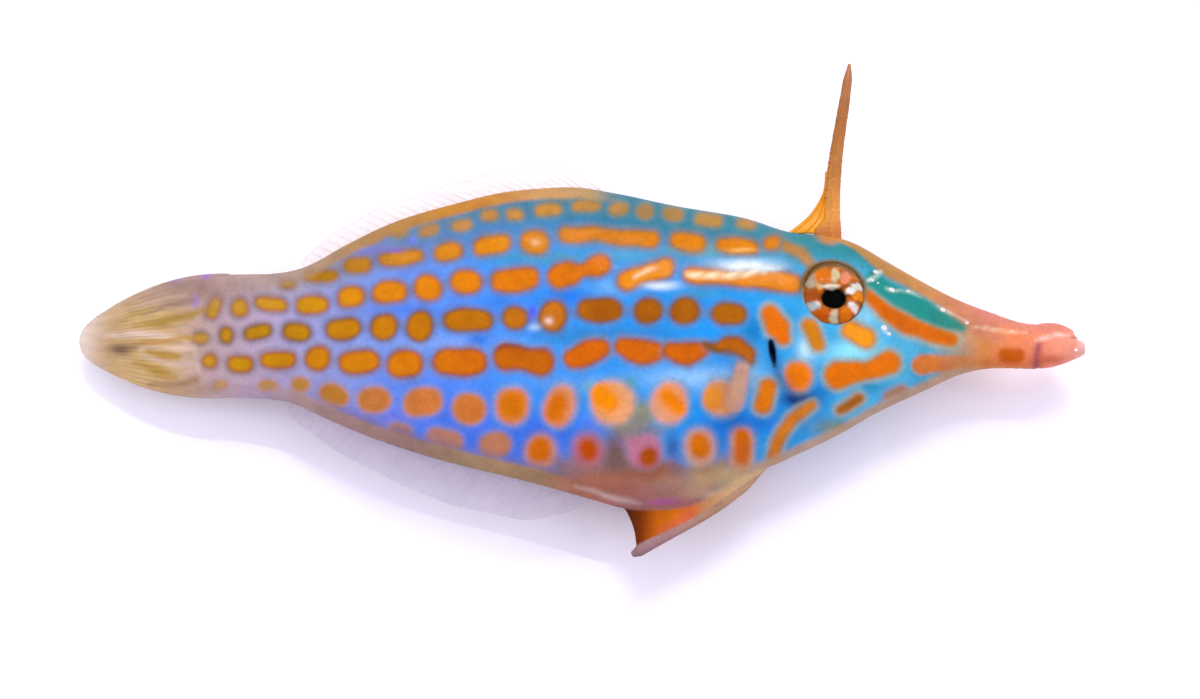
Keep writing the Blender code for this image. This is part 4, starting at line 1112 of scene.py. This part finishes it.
def paint_marks(colour, u, v):
    """The orange spots and bars, with the gleams and the shade that lie on some bars."""
    colour = paint_ringed_spots(paint_necks(colour, u, v), u, v)
    for row, marks in SPOT_ROWS.items():
        tint = along(u, ROW_COLOURS[row])
        for mark in marks:
            colour = paint_mark(colour, spot_gap(u, v, mark), tint, row)
    for row, code, chain in SPOT_CHAINS:
        tint = np.tile(linear(code), (len(u), 1))
        colour = paint_mark(colour, gap_to(u, v, chain), tint, row)
    on_bar = smooth(gap_to(u, v, SPOT_CHAINS[MIDDLE_LOW_BAR][2]), 2, -1)
    broken = 0.75 + 0.25 * np.sin(u / 2.9 + 1.7 * np.sin(v / 3.1))
    return layered(
        colour,
        ("#8c3c10", 0.6 * (fall(v, *BAR_TOP) * on_bar)),
        ("#fff0c4", 0.88 * broken * soft_chain(u, v, BAR_GLEAM, 3.2)),
        ("#fbe0b8", 0.72 * broken * soft_chain(u, v, SLOPE_GLEAM, 3.0)),
        ("#7a5226", 0.65 * soft_chain(u, v, HOOK_SHADE, 3.0)),
    )


def paint_edges(colour, x, inward):
    """The bands along the back and the belly, by how far points are from each edge."""
    for stops, strength, edge, fades, starts, ends in EDGE_BANDS:
        band = fall(inward[edge], *fades) * smooth(x, *starts) * fall(x, *ends)
        colour = mix(colour, along(x, stops), strength * band)
    return colour


def paint_head(colour, u, v, x, fish_y, from_back):
    """Tan brow, teal stripe under it, snout's marks, lids, painted wet glints, and painted shade at cleft,
    gill and nostrils.
    """
    width = np.interp(x, *zip(*BROW_WIDTH))
    brow = fall(from_back, width * 0.75, width * 1.2) * smooth(x, 17, 19.5) * fall(x, 29, 32)
    spine_foot = fall(np.hypot(x - BROW_SPOT[0], fish_y - BROW_SPOT[1]), 0.4, 1.5)
    bar = (0.95 - 0.65 * share(u, *SNOUT_BAR_FADES)) * soft_chain(u, v, SNOUT_BAR, 3)
    ridge = fall(from_back, 0.3, 1.3) * smooth(x, 28, 31)
    # The snout's lower side a darker orange: its own colour, partly painted shade
    low = smooth(-fish_y, 0.3, 1.7) * smooth(x, 28, 31) * fall(x, 33.5, 34.5)
    band = bell(u + (v - SNOUT_BAND_AT[1]) * 0.1, SNOUT_BAND_AT[0], 4.2) * smooth(v, *SNOUT_BAND_TOP)
    # Painted shade along the mouth's cleft
    cleft = bell(fish_y, mouth_line(x), 0.09) * smooth(x, 35.7, 36.2)
    colour = layered(
        colour, (along(x, BROW_COLOURS), brow), ("#d88a38", 0.85 * spine_foot),
        ("#1a8c7c", 0.92 * soft_chain(u, v, TEAL_STRIPE, 3.5)), ("#e07a14", bar), ("#cf7e72", 0.6 * ridge),
        ("#dc7238", 0.55 * low), ("#cc5c00", 0.95 * soft_chain(u, v, SNOUT_SPOT, 3.5)),
        ("#9c4860", 0.75 * band * (x > 30)), ("#d8543a", 0.55 * blot(u, v, *LIP_BLUSH)),
        ("#f8cfc6", 0.75 * smooth(x, 36.0, 37.2)), ("#b0544a", 0.5 * cleft),
    )
    # Painted highlights: the wet glints, broken into bright points
    wet = 0.5 + 0.5 * np.sin(u / 2.3 + 2.0 * np.sin(v / 2.9) + 1.5 * np.sin(u / 7.1))
    for strength, code, streak in PAINTED_WET_GLINTS:
        colour = mix(colour, code, strength * (0.45 + 0.55 * wet) * soft_chain(u, v, streak, 2.2))
    from_eye = np.hypot(x - EYE_X - LIDS_OFF[0], fish_y - EYE_Y - LIDS_OFF[1])
    above = smooth(fish_y - EYE_Y, -0.8, 0.9)
    off_spots = 1 - np.max([blot(u, v, *place) for place in GILL_SPOTS], axis=0)
    colour = layered(
        colour, ("#8a7650", 0.60 * fall(from_eye, 2.40, 2.85) * above),
        ("#7a5820", 0.92 * fall(from_eye, 2.36, 2.60) * above),
        ("#a89678", 0.60 * fall(from_eye, 2.25, 2.50) * (1 - above)),
        # Painted shade round the gill slit and within it
        ("#2c4884", 0.75 * soft_chain(u, v, GILL_SHADE_HALO, 9.0) * off_spots),
        ("#0a0410", 0.97 * soft_chain(u, v, GILL_SHADE, 2.6)),
    )
    # Painted shade in the nostrils' pits
    for nostril_x, nostril_y, radius in NOSTRILS:
        pit = np.hypot(x - nostril_x, fish_y - nostril_y)
        colour = mix(colour, "#7a6c5c", 0.35 * fall(pit, radius * 0.4, radius * 1.1))
    return colour


def paint_flap(colour, x, fish_y):
    """The flap below the belly, orange to dark brown, and the pink keel in front of it."""
    from_rod = fish_y - rod_line(x)
    below = belly_edge(x) + 0.12 - fish_y
    on_flap = smooth(below, 0.0, 0.25) * smooth(x, 1.8, 2.4)
    low_pink = on_flap * smooth(x, 4.8, 6) * fall(x, 7.5, 8.5) * fall(from_rod, 0.6, 1.3)
    on_rod = fall(np.abs(from_rod), rod_radius(x), rod_radius(x) * 1.35) * smooth(below, -0.4, 0.2)
    return layered(
        colour, (along(x, FLAP_COLOURS), on_flap), ("#d46040", 0.6 * low_pink),
        (along(x, ROD_COLOURS), on_rod * smooth(x, 3.0, 3.4) * fall(x, 12.6, 14.2)),
    )


# The skin's mesh


def body_rings(front, rear, step):
    """The body's outline at evenly spaced places, from rear to front."""
    rings, turn = [], turns(SKIN_SIDES)
    side = np.where(np.cos(turn) >= 0, 1.0, -1.0)
    for x in np.linspace(rear, front, round((front - rear) / step) + 1):
        middle = widest_at(x)
        reach = np.where(np.sin(turn) > 0, back_edge(x) - middle, middle - belly_edge(x))
        y = middle + reach * np.sin(turn)
        out = skin_out(x, y, side) * (np.abs(np.cos(turn)) > 1e-6)
        if x < TAIL_ROOT:  # the skin thins out over the roots of the tail's rays, to their own thickness
            over = (TAIL_ROOT - x) / TAIL_COVER
            y = y - np.where(np.sin(turn) > 0, 0.6, -0.1) * over**2 * np.abs(np.sin(turn))
            blade = TAIL_HALF[0] * (1 - 0.3 * over) * (1 - 0.6 * np.abs(np.sin(turn)) ** 6)
            out = blade - 0.05 * over + (out - blade) * (1 - over) ** 2
        rings.append(points_at(x, AXIS_Y + y, np.maximum(0.0, middle_height(x) + side * out)))
    return rings


def lip_rings(tip_at, edges, is_upper):
    """A closed lip from inside the snout to its rounded tip."""
    tip, tip_y = tip_at
    outer = profile(edges)
    start, rings, turn, steps = LIPS_FROM, [], turns(LIP_GRID[0]), LIP_GRID[1]
    for i in range(steps + 1):
        bend = math.sin(math.pi / 2 * i / steps)
        x = start + (tip - start) * min(bend, 0.995)
        fade = math.sqrt(max(0.02, 1 - ((x - start) / (tip - start)) ** 6))
        cleft = mouth_line(x) + (-LIP_OVERLAP if is_upper else LIP_OVERLAP)
        middle = (outer(x) + cleft) / 2 * fade + tip_y * (1 - fade)
        half = abs(outer(x) - cleft) / 2 * (0.3 + 0.7 * fade)
        wide = LIP_HALF_WIDTH + LIP_SWELL * math.sin(math.pi * share(x, start, tip))
        wide = wide * fade * (1 if is_upper else 0.92)
        rings.append(body_points(x, middle + half * np.sin(turn), wide * np.cos(turn)))
    return rings


def snout_tip_rings():
    """The flesh that joins the closed lips, up to just behind their tips."""
    upper, lower, rings, turn = profile(UPPER_LIP), profile(LOWER_LIP), [], turns(SNOUT_GRID[0])
    start, end = LIPS_FROM, UPPER_LIP_TIP[0] + 0.15
    for x in np.linspace(start, end, SNOUT_GRID[1]):
        fade = math.sqrt(max(0.02, 1 - share(x, end - 1.0, end) ** 2))
        top, bottom = upper(x) - 0.06, lower(x) + 0.06
        wide = 1.10 + LIP_SWELL * math.sin(math.pi * share(x, start, end + 1))
        wide = wide * (0.25 + 0.75 * fade)
        y = (top + bottom) / 2 + (top - bottom) / 2 * (0.35 + 0.65 * fade) * np.sin(turn)
        rings.append(body_points(x, y, wide * np.cos(turn)))
    return rings


def rod_rings():
    """The pelvic rod, from inside the belly to its blunt hind end."""
    rings, turn, end = [], turns(ROD_GRID[0]), ROD_LINE[-1][0]
    for x in np.linspace(ROD_FRONT_X, end, ROD_GRID[1]):
        heading = math.atan((rod_line(x + 0.2) - rod_line(x - 0.2)) / 0.4)
        radius = rod_radius(x) * (0.55 + 0.45 * smooth(x, end, end + 0.6))
        across = radius * np.cos(turn)
        y = AXIS_Y + rod_line(x) + 0.55 * smooth(x, 11.4, ROD_FRONT_X) + math.cos(heading) * across
        rings.append(points_at(x - math.sin(heading) * across, y, middle_height(x) + radius * np.sin(turn)))
    return rings


def flap_place(u, v):
    """A point of the flap: u from its front to its hind edge, v from the belly to the rod."""
    top_x = FLAP_FRONT_X + (FLAP_HIND_X[0] - FLAP_FRONT_X) * u
    foot_x = FLAP_FRONT_X + (FLAP_HIND_X[1] - FLAP_FRONT_X) * u
    x = top_x + (foot_x - top_x) * v
    top, foot = belly_edge(top_x) + 0.5, rod_line(foot_x) + 0.2
    bend = FLAP_HOLLOW * smooth(u, 0.5, 1.0) * np.sin(math.pi * v)
    return points_at(x + bend, AXIS_Y + top + (foot - top) * v, middle_height(x))


def flap_half(u, v):
    """The flap's half thickness: flesh in front, thin and faintly pleated behind."""
    return 0.24 + 0.22 * fall(u, 0.35, 0.55) + 0.03 * np.cos(u * 95) * smooth(u, 0.5, 0.6)


def eye_matrix(side):
    """Places a shape made at the origin, facing up, in one eye socket."""
    at = Vector((EYE_X, AXIS_Y + EYE_Y, middle_height(EYE_X) + side * EYE_OUT[side])) * MM
    turn = Matrix.Rotation(math.radians(-side * EYE_TILT), 4, "X")
    flip = Matrix.Rotation(math.pi, 4, "X") if side < 0 else Matrix.Identity(4)
    return Matrix.Translation(at) @ turn @ flip


def skin_cutters(material):
    """Solids that sink the eye sockets, the gill slits and the nostrils."""
    cutters = []
    for side in (1, -1):
        tight = EYE_RADIUS - 0.06
        socket = ellipsoid(f"socket{side}", (0, 0, 0), (tight, tight, EYE_DEPTH), material, *SOCKET_GRID)
        socket.data.transform(eye_matrix(side))
        slit = (GILL_WIDTH / 2, GILL_LENGTH / 2, GILL_DEPTH)
        gill = ellipsoid(f"gill{side}", (0, 0, 0), slit, material, *GILL_GRID)
        out = middle_height(GILL_X) + side * float(skin_out(GILL_X, GILL_Y, side))
        at = Vector((GILL_X, AXIS_Y + GILL_Y, out)) * MM
        gill.data.transform(Matrix.Translation(at) @ Matrix.Rotation(math.radians(-GILL_LEAN), 4, "Z"))
        cutters += [socket, gill]
        for n, (x, y, radius) in enumerate(NOSTRILS):
            out = middle_height(x) + side * float(skin_out(x, y, side))
            pit, centre = (radius, radius, NOSTRIL_DEPTH), (x, AXIS_Y + y, out)
            cutters.append(ellipsoid(f"nostril{side}{n}", centre, pit, material, *NOSTRIL_GRID))
    return cutters


def cut_away(body, cutters):
    """Takes the cutters out of the body and removes them."""
    tools = bpy.data.collections.new("skin_cutters")
    bpy.context.scene.collection.children.link(tools)
    for cutter in cutters:
        bpy.context.scene.collection.objects.unlink(cutter)
        tools.objects.link(cutter)
    cut = body.modifiers.new("cut", "BOOLEAN")
    cut.operation, cut.operand_type, cut.solver = "DIFFERENCE", "COLLECTION", "MANIFOLD"
    cut.collection = tools
    applied(body)
    for cutter in cutters:
        bpy.data.objects.remove(cutter)
    bpy.data.collections.remove(tools)


def press_folds(points):
    """Presses the mouth's cleft, the crease behind the lips and the snout's fine wrinkles into the skin."""
    x, y, z = points.T
    lip_height = y - AXIS_Y - mouth_line(x)
    middle = middle_height(x)
    cleft = bell(lip_height, 0, 0.13) * smooth(x, 35.3, 36.0)
    crease = bell(x, 33.6, 0.16)
    wrinkles = np.sin(x * 9.0) * smooth(x, 29, 30) * fall(x, 32.6, 33.4)
    squeeze = 1 - 0.12 * cleft - 0.05 * crease - 0.006 * wrinkles
    pressed_x = x - 0.30 * cleft * smooth(x, 36.0, 36.5)
    pressed_y = y - lip_height * (0.04 * crease + 0.005 * wrinkles)
    return points_at(pressed_x, pressed_y, middle + (z - middle) * squeeze)


def make_skin(material):
    """One skin over head, trunk, snout, lips, belly flap and keel, with eye sockets, gills and nostrils."""
    body = loft("filefish_skin", body_rings(LIP_ROOT + 0.25, TAIL_ROOT - TAIL_COVER, SKIN_STEP), material)
    cut_away(body, skin_cutters(material))
    joined([
        body,
        loft("upper", lip_rings(UPPER_LIP_TIP, UPPER_LIP, True), material),
        loft("lower", lip_rings(LOWER_LIP_TIP, LOWER_LIP, False), material),
        loft("snout_tip", snout_tip_rings(), material),
        loft("rod", rod_rings(), material),
        fin_sheet("flap", flap_place, flap_half, *FLAP_GRID, material),
    ])
    remesh = body.modifiers.new("remesh", "REMESH")
    remesh.mode, remesh.voxel_size, remesh.use_smooth_shade = "VOXEL", SKIN_VOXEL * MM, True
    soften = body.modifiers.new("soften", "SMOOTH")
    soften.factor, soften.iterations = 0.5, 3
    applied(body)
    for name in ("ray", "reach"):
        if name in body.data.attributes:
            body.data.attributes.remove(body.data.attributes[name])
    points = mesh_points(body)
    move_points(body, press_folds(points))
    set_attribute(body, "skin_colour", flank_colours(points))
    lay_out_skin(body)
    carry(body, "skin", *FLESH_NODES)


def lay_out_skin(body):
    """Lays the skin out for baking as two side views, one above the other."""
    points = mesh_points(body)
    mesh = body.data
    corner = np.zeros(len(mesh.loops), np.int32)
    mesh.loops.foreach_get("vertex_index", corner)
    face_of = np.repeat(np.arange(len(mesh.polygons)), [p.loop_total for p in mesh.polygons])
    normals = np.zeros(len(mesh.polygons) * 3, np.float32)
    mesh.polygons.foreach_get("normal", normals)
    up = normals.reshape(-1, 3)[face_of, 2] >= 0
    low, high = points.min(0), points.max(0)
    size = (high - low).max() * 1.02
    u = (points[corner, 0] - low[0]) / size + 0.01
    v = (points[corner, 1] - low[1]) / size + np.where(up, 0.01, 0.505)
    layer = mesh.uv_layers.new(name="OFBake")
    layer.data.foreach_set("uv", np.stack([u, v], axis=1).astype(np.float32).ravel())


# Eyes


def make_eye(side, name, iris, cornea):
    """An eye: a dished, blotched iris round a deep pupil, under a clear dome."""
    radii, heights = zip(*EYE_PROFILE)
    steps, places = np.linspace(0, 1, EYE_GRID[1]), np.linspace(0, 1, len(radii))
    rings, turn = [], turns(EYE_GRID[0])
    for r, h in zip(np.interp(steps, places, radii)[::-1], np.interp(steps, places, heights)[::-1]):
        off_axis = float(fall(r, 1.1, 2.3)) if h > 0 else 0.0
        oval = 1 - (1 - PUPIL_FLATNESS) * float(fall(r, PUPIL_RADIUS, 1.5)) if h > 0 else 1.0
        x = PUPIL_AT[0] * off_axis + r * np.cos(turn)
        rings.append(points_at(x, PUPIL_AT[1] * off_axis + r * oval * np.sin(turn), h))
    ball = loft(name + "_ball", rings, iris)
    points = mesh_points(ball)
    set_attribute(ball, "skin_colour", iris_colours(points))
    set_attribute(ball, "shine", smooth(from_pupil_centre(points), PUPIL_RADIUS, PUPIL_RADIUS + 0.1))
    ball.data.transform(eye_matrix(side))
    carry(ball, "eye", name)
    dome_rings = []
    for tilt in np.linspace(0.10, math.pi / 2 - POLE_GAP, DOME_RINGS):
        flat = EYE_RADIUS * math.cos(tilt)
        dome_rings.append(points_at(flat * np.cos(turn), flat * np.sin(turn), EYE_DEPTH * math.sin(tilt)))
    dome = loft(name + "_cornea", dome_rings, cornea)
    dome.data.transform(eye_matrix(side))
    carry(dome, "eye")


def from_pupil_centre(points):
    """How far points of an eye are from the pupil's middle, as radii of its oval."""
    return np.hypot(points[:, 0] - PUPIL_AT[0], (points[:, 1] - PUPIL_AT[1]) / PUPIL_FLATNESS)


def iris_colours(points):
    """Orange and pearly blotches with brown between them, a dark rim above and a black pupil."""
    x, y = points[:, 0], points[:, 1]
    from_iris, high = np.hypot(x - IRIS_AT[0], y - IRIS_AT[1]), share(y, -2.0, 2.0)
    from_pupil = from_pupil_centre(points)
    turn = np.arctan2(y - PUPIL_AT[1], x - PUPIL_AT[0])
    between = 0.5 + 0.5 * np.sin(9 * turn + 3 * from_pupil)
    colour = mix(np.tile(linear("#a05410"), (len(x), 1)), "#d87408", between)
    wander_x = x + 0.05 * np.sin(7 * y + 3) + 0.03 * np.sin(17 * y)
    wander_y = y + 0.05 * np.sin(8 * x + 1) + 0.03 * np.sin(19 * x)
    for code, at_x, at_y, half_x, half_y in IRIS_BLOTCHES:
        across = (wander_x - PUPIL_AT[0] - at_x) / half_x
        up = (wander_y - PUPIL_AT[1] - at_y) / half_y
        colour = mix(colour, code, 0.97 * fall(np.hypot(across, up), 0.62, 1.26))
    rim = (0.25 + 0.6 * high) * smooth(from_iris, IRIS_RADIUS - 0.12, IRIS_RADIUS + 0.08)
    lid_shade = smooth(from_iris, IRIS_RADIUS, IRIS_RADIUS + 0.15) * smooth(high, 0.35, 0.6)
    gleam = blot(x, y, PUPIL_AT[0] - 0.16, PUPIL_AT[1] + 0.86, 0.62, 0.20)
    pupil = fall(from_pupil, PUPIL_RADIUS - 0.05, PUPIL_RADIUS + 0.01)
    return layered(
        colour, ("#94703c", rim), ("#7c5620", 0.9 * lid_shade),
        ("#5a2c08", 0.5 * bell(from_pupil, PUPIL_RADIUS + 0.05, 0.08)),
        ("#fbf2d2", 0.95 * smooth(gleam, 0.15, 0.7)), ("#010101", pupil * fall(gleam, 0.3, 0.7)),
    )


# Spine and sail


def spine_path(t):
    """A point along the first dorsal spine, from its foot at 0 to its tip at 1, with a slight bow."""
    x = SPINE_FOOT[0] + (SPINE_TIP[0] - SPINE_FOOT[0]) * t + SPINE_BOW * (1 - t) * np.sin(math.pi * t)
    y = SPINE_FOOT[1] + GAP + (SPINE_TIP[1] - SPINE_FOOT[1] - GAP) * t
    return x, y


def spine_half_width(t):
    """Half the spine's width, from its foot at 0 to its tip at 1."""
    return np.interp(t, *zip(*SPINE_RADII))


def spine_flare(t):
    """How much further back the spine reaches near its foot."""
    return SPINE_FOOT_FLARE * np.maximum(0.0, 1 - t / FLARE_REACH) ** 2


def barb(root, wide, length, back, side):
    """The corners of one small barb, its tip and three at its foot, and its faces."""
    tip = root + np.array([-(back + length * 0.75), -length * 0.75, side * length * 0.45])
    foot = [root + (0, wide * 1.6, 0), root + (0, -wide, wide * 0.8), root + (0, -wide, -wide * 0.8)]
    return [tip] + foot, [(0, 1, 2), (0, 2, 3), (0, 3, 1), (1, 3, 2)]


def make_spine(material):
    """The first dorsal spine, rooted in the back, rough with small barbs along its hind edges."""
    rings, turn = [], turns(SPINE_GRID[0])
    groove = 1 - 0.06 * np.cos(6 * turn)
    behind = np.maximum(0.0, -np.cos(turn))
    random = np.random.default_rng(BARB_SEED)
    for t in np.linspace(-0.07, 1, SPINE_GRID[1]):
        x, y = spine_path(t)
        radius = spine_half_width(max(t, 0)) * (1 + 0.03 * random.standard_normal())
        across = radius * groove * np.cos(turn) - spine_flare(max(t, 0)) * behind
        out = middle_height(x) + radius * 0.9 * groove * np.sin(turn)
        rings.append(points_at(x + across, AXIS_Y + y, out))
    spine = loft("dorsal_spine_horn", rings, material)
    points, faces = [], []
    for n in range(BARBS):
        for side in (1, -1):
            t = 0.20 + 0.74 * n / (BARBS - 1) + 0.008 * random.standard_normal()
            x, y = spine_path(t)
            radius = spine_half_width(t)
            size = (0.55 + 0.45 * (1 - t)) * (0.55 + 0.35 * random.random())
            root = np.array([x - radius * 0.45, AXIS_Y + y, middle_height(x) + side * radius * 0.45])
            corners, sides = barb(root, 0.13 * size, 0.42 * size, radius * 0.3, side)
            faces += [tuple(len(points) + i for i in face) for face in sides]
            points += corners
    barbs = new_object("dorsal_spine_barbs", points, faces, material)
    for piece in (spine, barbs):
        height = share(mesh_points(piece)[:, 1] - AXIS_Y, SPINE_FOOT[1], SPINE_TIP[1])
        set_attribute(piece, "reach", height)
    carry(spine, "spine", "dorsal_spine")
    carry(barbs, "spine")


def make_sail(material):
    """The yellow membrane behind the spine."""
    foot_y = float(back_edge(SAIL_FOOT_X)) - 0.2
    top_y = float(spine_path(SAIL_REACH)[1]) - 0.25
    top_x = float(spine_path(SAIL_REACH)[0] - spine_half_width(SAIL_REACH)) - 0.15

    def place(u, v):
        t = -0.02 + (SAIL_REACH + 0.02) * u
        x, y = spine_path(t)
        front_x = x - spine_half_width(np.maximum(t, 0)) * 0.6 - spine_flare(np.maximum(t, 0))
        hind_x = SAIL_FOOT_X + (top_x - SAIL_FOOT_X) * (1 - (1 - u) ** SAIL_HOLLOW)
        hind_y = foot_y + (top_y - foot_y) * u
        px = front_x + (hind_x - front_x) * v
        py = y + (hind_y - y) * v
        return body_points(px, py, 0.12 * np.sin(math.pi * v) * np.cos(7 * u))

    def ray(u, v):
        return 0.5 + 0.5 * np.cos(v * 16)

    def half(u, v):
        return 0.16 - 0.08 * v + 0.02 * np.cos(v * 30) - 0.05 * u

    sail = fin_sheet("dorsal_spine_sail", place, half, *SAIL_GRID, material, ray)
    carry(sail, "spine", "dorsal_spine_membrane")


# Fins


def make_median_fin(name, node, fin, edge, direction, material):
    """The long fin of the back or belly: clear membrane on fine, leaning rays."""
    height, lean = profile(fin["height"]), profile(fin["lean"])

    def place(u, v):
        x = fin["from"] + (fin["to"] - fin["from"]) * u
        root_y = edge(x) - direction * FIN_ROOTED
        tip_x = x - lean(u)
        scallop = 0.05 * np.abs(np.sin(math.pi * fin["rays"] * u))
        tip_y = edge(tip_x) + direction * (GAP + height(u) - scallop)
        px = x + (tip_x - x) * v
        on_edge = edge(px) - direction * FIN_ROOTED
        straight = root_y + (tip_y - root_y) * v
        y = np.maximum(straight, on_edge) if direction > 0 else np.minimum(straight, on_edge)
        sag = FIN_DROOP * v**1.6 - FIN_WAVE * v * np.sin(2 * math.pi * FIN_WAVES * u)
        return body_points(px, y, -sag)

    def ray(u, v):
        along_ray = smooth(np.cos(2 * math.pi * fin["rays"] * u), 0.55, 0.95)
        return np.maximum(along_ray * (1 - 0.3 * v), 0.55 * smooth(v, 0.93, 0.99))

    def half(u, v):
        return (0.07 + 0.06 * ray(u, v)) * (1 - 0.6 * v) + 0.02

    made = fin_sheet(name, place, half, fin["rays"] * PER_RAY + 1, FIN_ROWS, material, ray)
    carry(made, "fin", node)


def make_tail(material):
    """The folded tail fin, its rays side by side and branching towards the tip."""

    def place(u, v):
        spread = 2 * u - 1
        bulge = np.where(spread > 0, TAIL_BULGE[1], TAIL_BULGE[0]) * spread * np.abs(spread) ** 0.5
        roots = (TAIL_ROOT + 0.9, TAIL_ROOT_Y[0] + (TAIL_ROOT_Y[1] - TAIL_ROOT_Y[0]) * u)
        end_x = TAIL_END[0] + 0.05 + TAIL_END_ROUND * np.abs(spread) ** 2.2
        ends = (end_x, TAIL_END[1] + TAIL_END_HALF_HEIGHT * spread)
        x, y = (
            root * (1 - v) ** 2 + ((root + end) / 2 + bend) * 2 * v * (1 - v) + end * v**2
            for root, end, bend in zip(roots, ends, (0, bulge))
        )
        return body_points(x, y, 0)

    def ray(u, v):
        wander = 0.06 * np.sin(9 * u + 1) + 0.03 * np.sin(23 * u)
        turn = [2 * math.pi * (n * TAIL_RAYS * (u + wander * v * 0.2) - 0.5) for n in (1, 2, 4)]
        whole, split, fine = [0.5 + 0.5 * np.cos(t) for t in turn]
        one, two = smooth(v, 0.3, 0.55), smooth(v, 0.6, 0.9)
        return (whole * (1 - one) + (split * (1 - two) + fine * two) * one) * smooth(v, 0.16, 0.42)

    def half(u, v):
        edge = 1 - np.abs(2 * u - 1) ** 6
        thick = TAIL_HALF[0] + (TAIL_HALF[1] - TAIL_HALF[0]) * v**0.8
        return np.maximum(0.05, thick * (0.4 + 0.6 * edge)) + 0.05 * ray(u, v) * (1 - 0.6 * v)

    tail = fin_sheet("caudal_fin_blade", place, half, TAIL_RAYS * PER_TAIL_RAY + 1, TAIL_ROWS, material, ray)
    set_attribute(tail, "skin_colour", flank_colours(mesh_points(tail)))
    carry(tail, "fin", "caudal_fin")


def make_pectoral(side, name, material):
    """A pectoral fin, folded down against the flank."""
    aim = math.radians(PECTORAL_TURN)

    def place(u, v):
        spread = 2 * u - 1
        turn = np.radians(PECTORAL_TURN + PECTORAL_SPREAD / 2 * spread)
        length = PECTORAL_LENGTH * (1 - 0.16 * spread**2)
        x = PECTORAL_X - math.sin(aim) * PECTORAL_ROOT / 2 * spread + length * v * np.cos(turn)
        y = PECTORAL_Y + math.cos(aim) * PECTORAL_ROOT / 2 * spread + length * v * np.sin(turn)
        lift = 0.34 * smooth(v, 0.0, 0.25) + (0.45 * v**2 if side > 0 else 0.0)
        return body_points(x, y, side * (skin_out(x, y, side) + lift + GAP * smooth(v, 0.0, 0.2)))

    def ray(u, v):
        on_ray = smooth(np.cos(2 * math.pi * PECTORAL_RAYS * (u - 0.5 / PECTORAL_RAYS)), 0.3, 0.9)
        within = smooth(np.minimum(u, 1 - u), 0.0, 0.34) * smooth(v, 0.0, 0.2)
        return (0.72 + 0.28 * on_ray) * (within * (1 - 0.6 * smooth(v, 0.75, 1.0)))

    def half(u, v):
        return (0.05 + 0.08 * ray(u, v)) * (1 - 0.6 * v) + 0.02

    made = fin_sheet(name + "_blade", place, half, PECTORAL_RAYS * PER_RAY + 1, FIN_ROWS, material, ray)
    carry(made, "fin", name)


# Water drops


def make_water_drops(material):
    """Small drops of water left on the skin, flattened against it."""
    drops = []
    for n, (u, v, radius) in enumerate(WATER_DROPS):
        at = on_flank(u, v)
        radii = (radius, radius * 0.8, radius * DROP_HEIGHT)
        drop = ellipsoid(f"drop{n}", (0, 0, 0), radii, material, *DROP_GRID)
        turn = Vector((0, 0, 1)).rotation_difference(flank_normal(at)).to_matrix().to_4x4()
        drop.data.transform(Matrix.Translation(Vector(at) * MM) @ turn)
        drops.append(drop)
    body = joined(drops)
    body.name = "water_drops"
    carry(body, None)


# Camera and light


def make_camera():
    """The camera, where the photo was taken from and with its angle of view."""
    camera = bpy.data.cameras.new("photo_camera")
    camera.sensor_fit, camera.sensor_width = "HORIZONTAL", SENSOR_WIDTH
    camera.lens = PHOTO_FOCAL * SENSOR_WIDTH / PHOTO_SIZE[0]
    camera.clip_start, camera.clip_end = CLIP_NEAR, CLIP_FAR
    obj = placed("photo_camera", camera)
    axes = np.stack([CAMERA_RIGHT, CAMERA_UP, -CAMERA_LOOKS], axis=1)
    obj.matrix_world = Matrix.Translation(Vector(CAMERA_AT) * MM) @ Matrix(axes.tolist()).to_4x4()
    bpy.context.scene.camera = obj


def add_light(name, place, size, power, colour):
    """A soft box that faces the fish."""
    light = bpy.data.lights.new(name, "AREA")
    light.shape, light.size, light.size_y = "RECTANGLE", size[0], size[1]
    light.energy, light.color = power, linear(colour)
    obj = placed(name, light)
    obj.location = place
    obj.rotation_euler = (-Vector(place)).to_track_quat("-Z", "Y").to_euler()


def make_studio():
    """A pale floor under soft boxes, in a pale room."""
    half = FLOOR_HALF
    corners = [(-half, -half, 0), (half, -half, 0), (half, half, 0), (-half, half, 0)]
    floor = new_object("studio_floor", corners, [(0, 1, 2, 3)], studio_floor())
    floor.location.z = -FLOOR_BELOW
    for box in LIGHTS:
        add_light(*box)
    world = bpy.data.worlds.new("soft_room")
    world.use_nodes = True
    background = world.node_tree.nodes["Background"]
    background.inputs["Color"].default_value = opaque(ROOM_COLOUR)
    background.inputs["Strength"].default_value = ROOM_STRENGTH
    bpy.context.scene.world = world
    bpy.context.scene.view_settings.view_transform = "Standard"


# The whole scene


def main():
    """Builds the fish, its stage, the light and the camera."""
    make_camera()
    make_studio()
    make_skin(wet_fish_skin())
    iris, cornea = iris_flesh(), clear_cornea()
    make_eye(1, "eye_right", iris, cornea)
    make_eye(-1, "eye_left", iris, cornea)
    make_spine(spine_horn())
    make_sail(yellow_sail())
    make_median_fin("soft_dorsal_blade", "soft_dorsal_fin", DORSAL_FIN, back_edge, 1, clear_back_fin())
    make_median_fin("anal_fin_blade", "anal_fin", ANAL_FIN, belly_edge, -1, clear_belly_fin())
    make_tail(tail_skin())
    side_fin = brown_side_fin()
    make_pectoral(1, "pectoral_fin_right", side_fin)
    make_pectoral(-1, "pectoral_fin_left", side_fin)
    make_water_drops(white_glint_drop())


main()
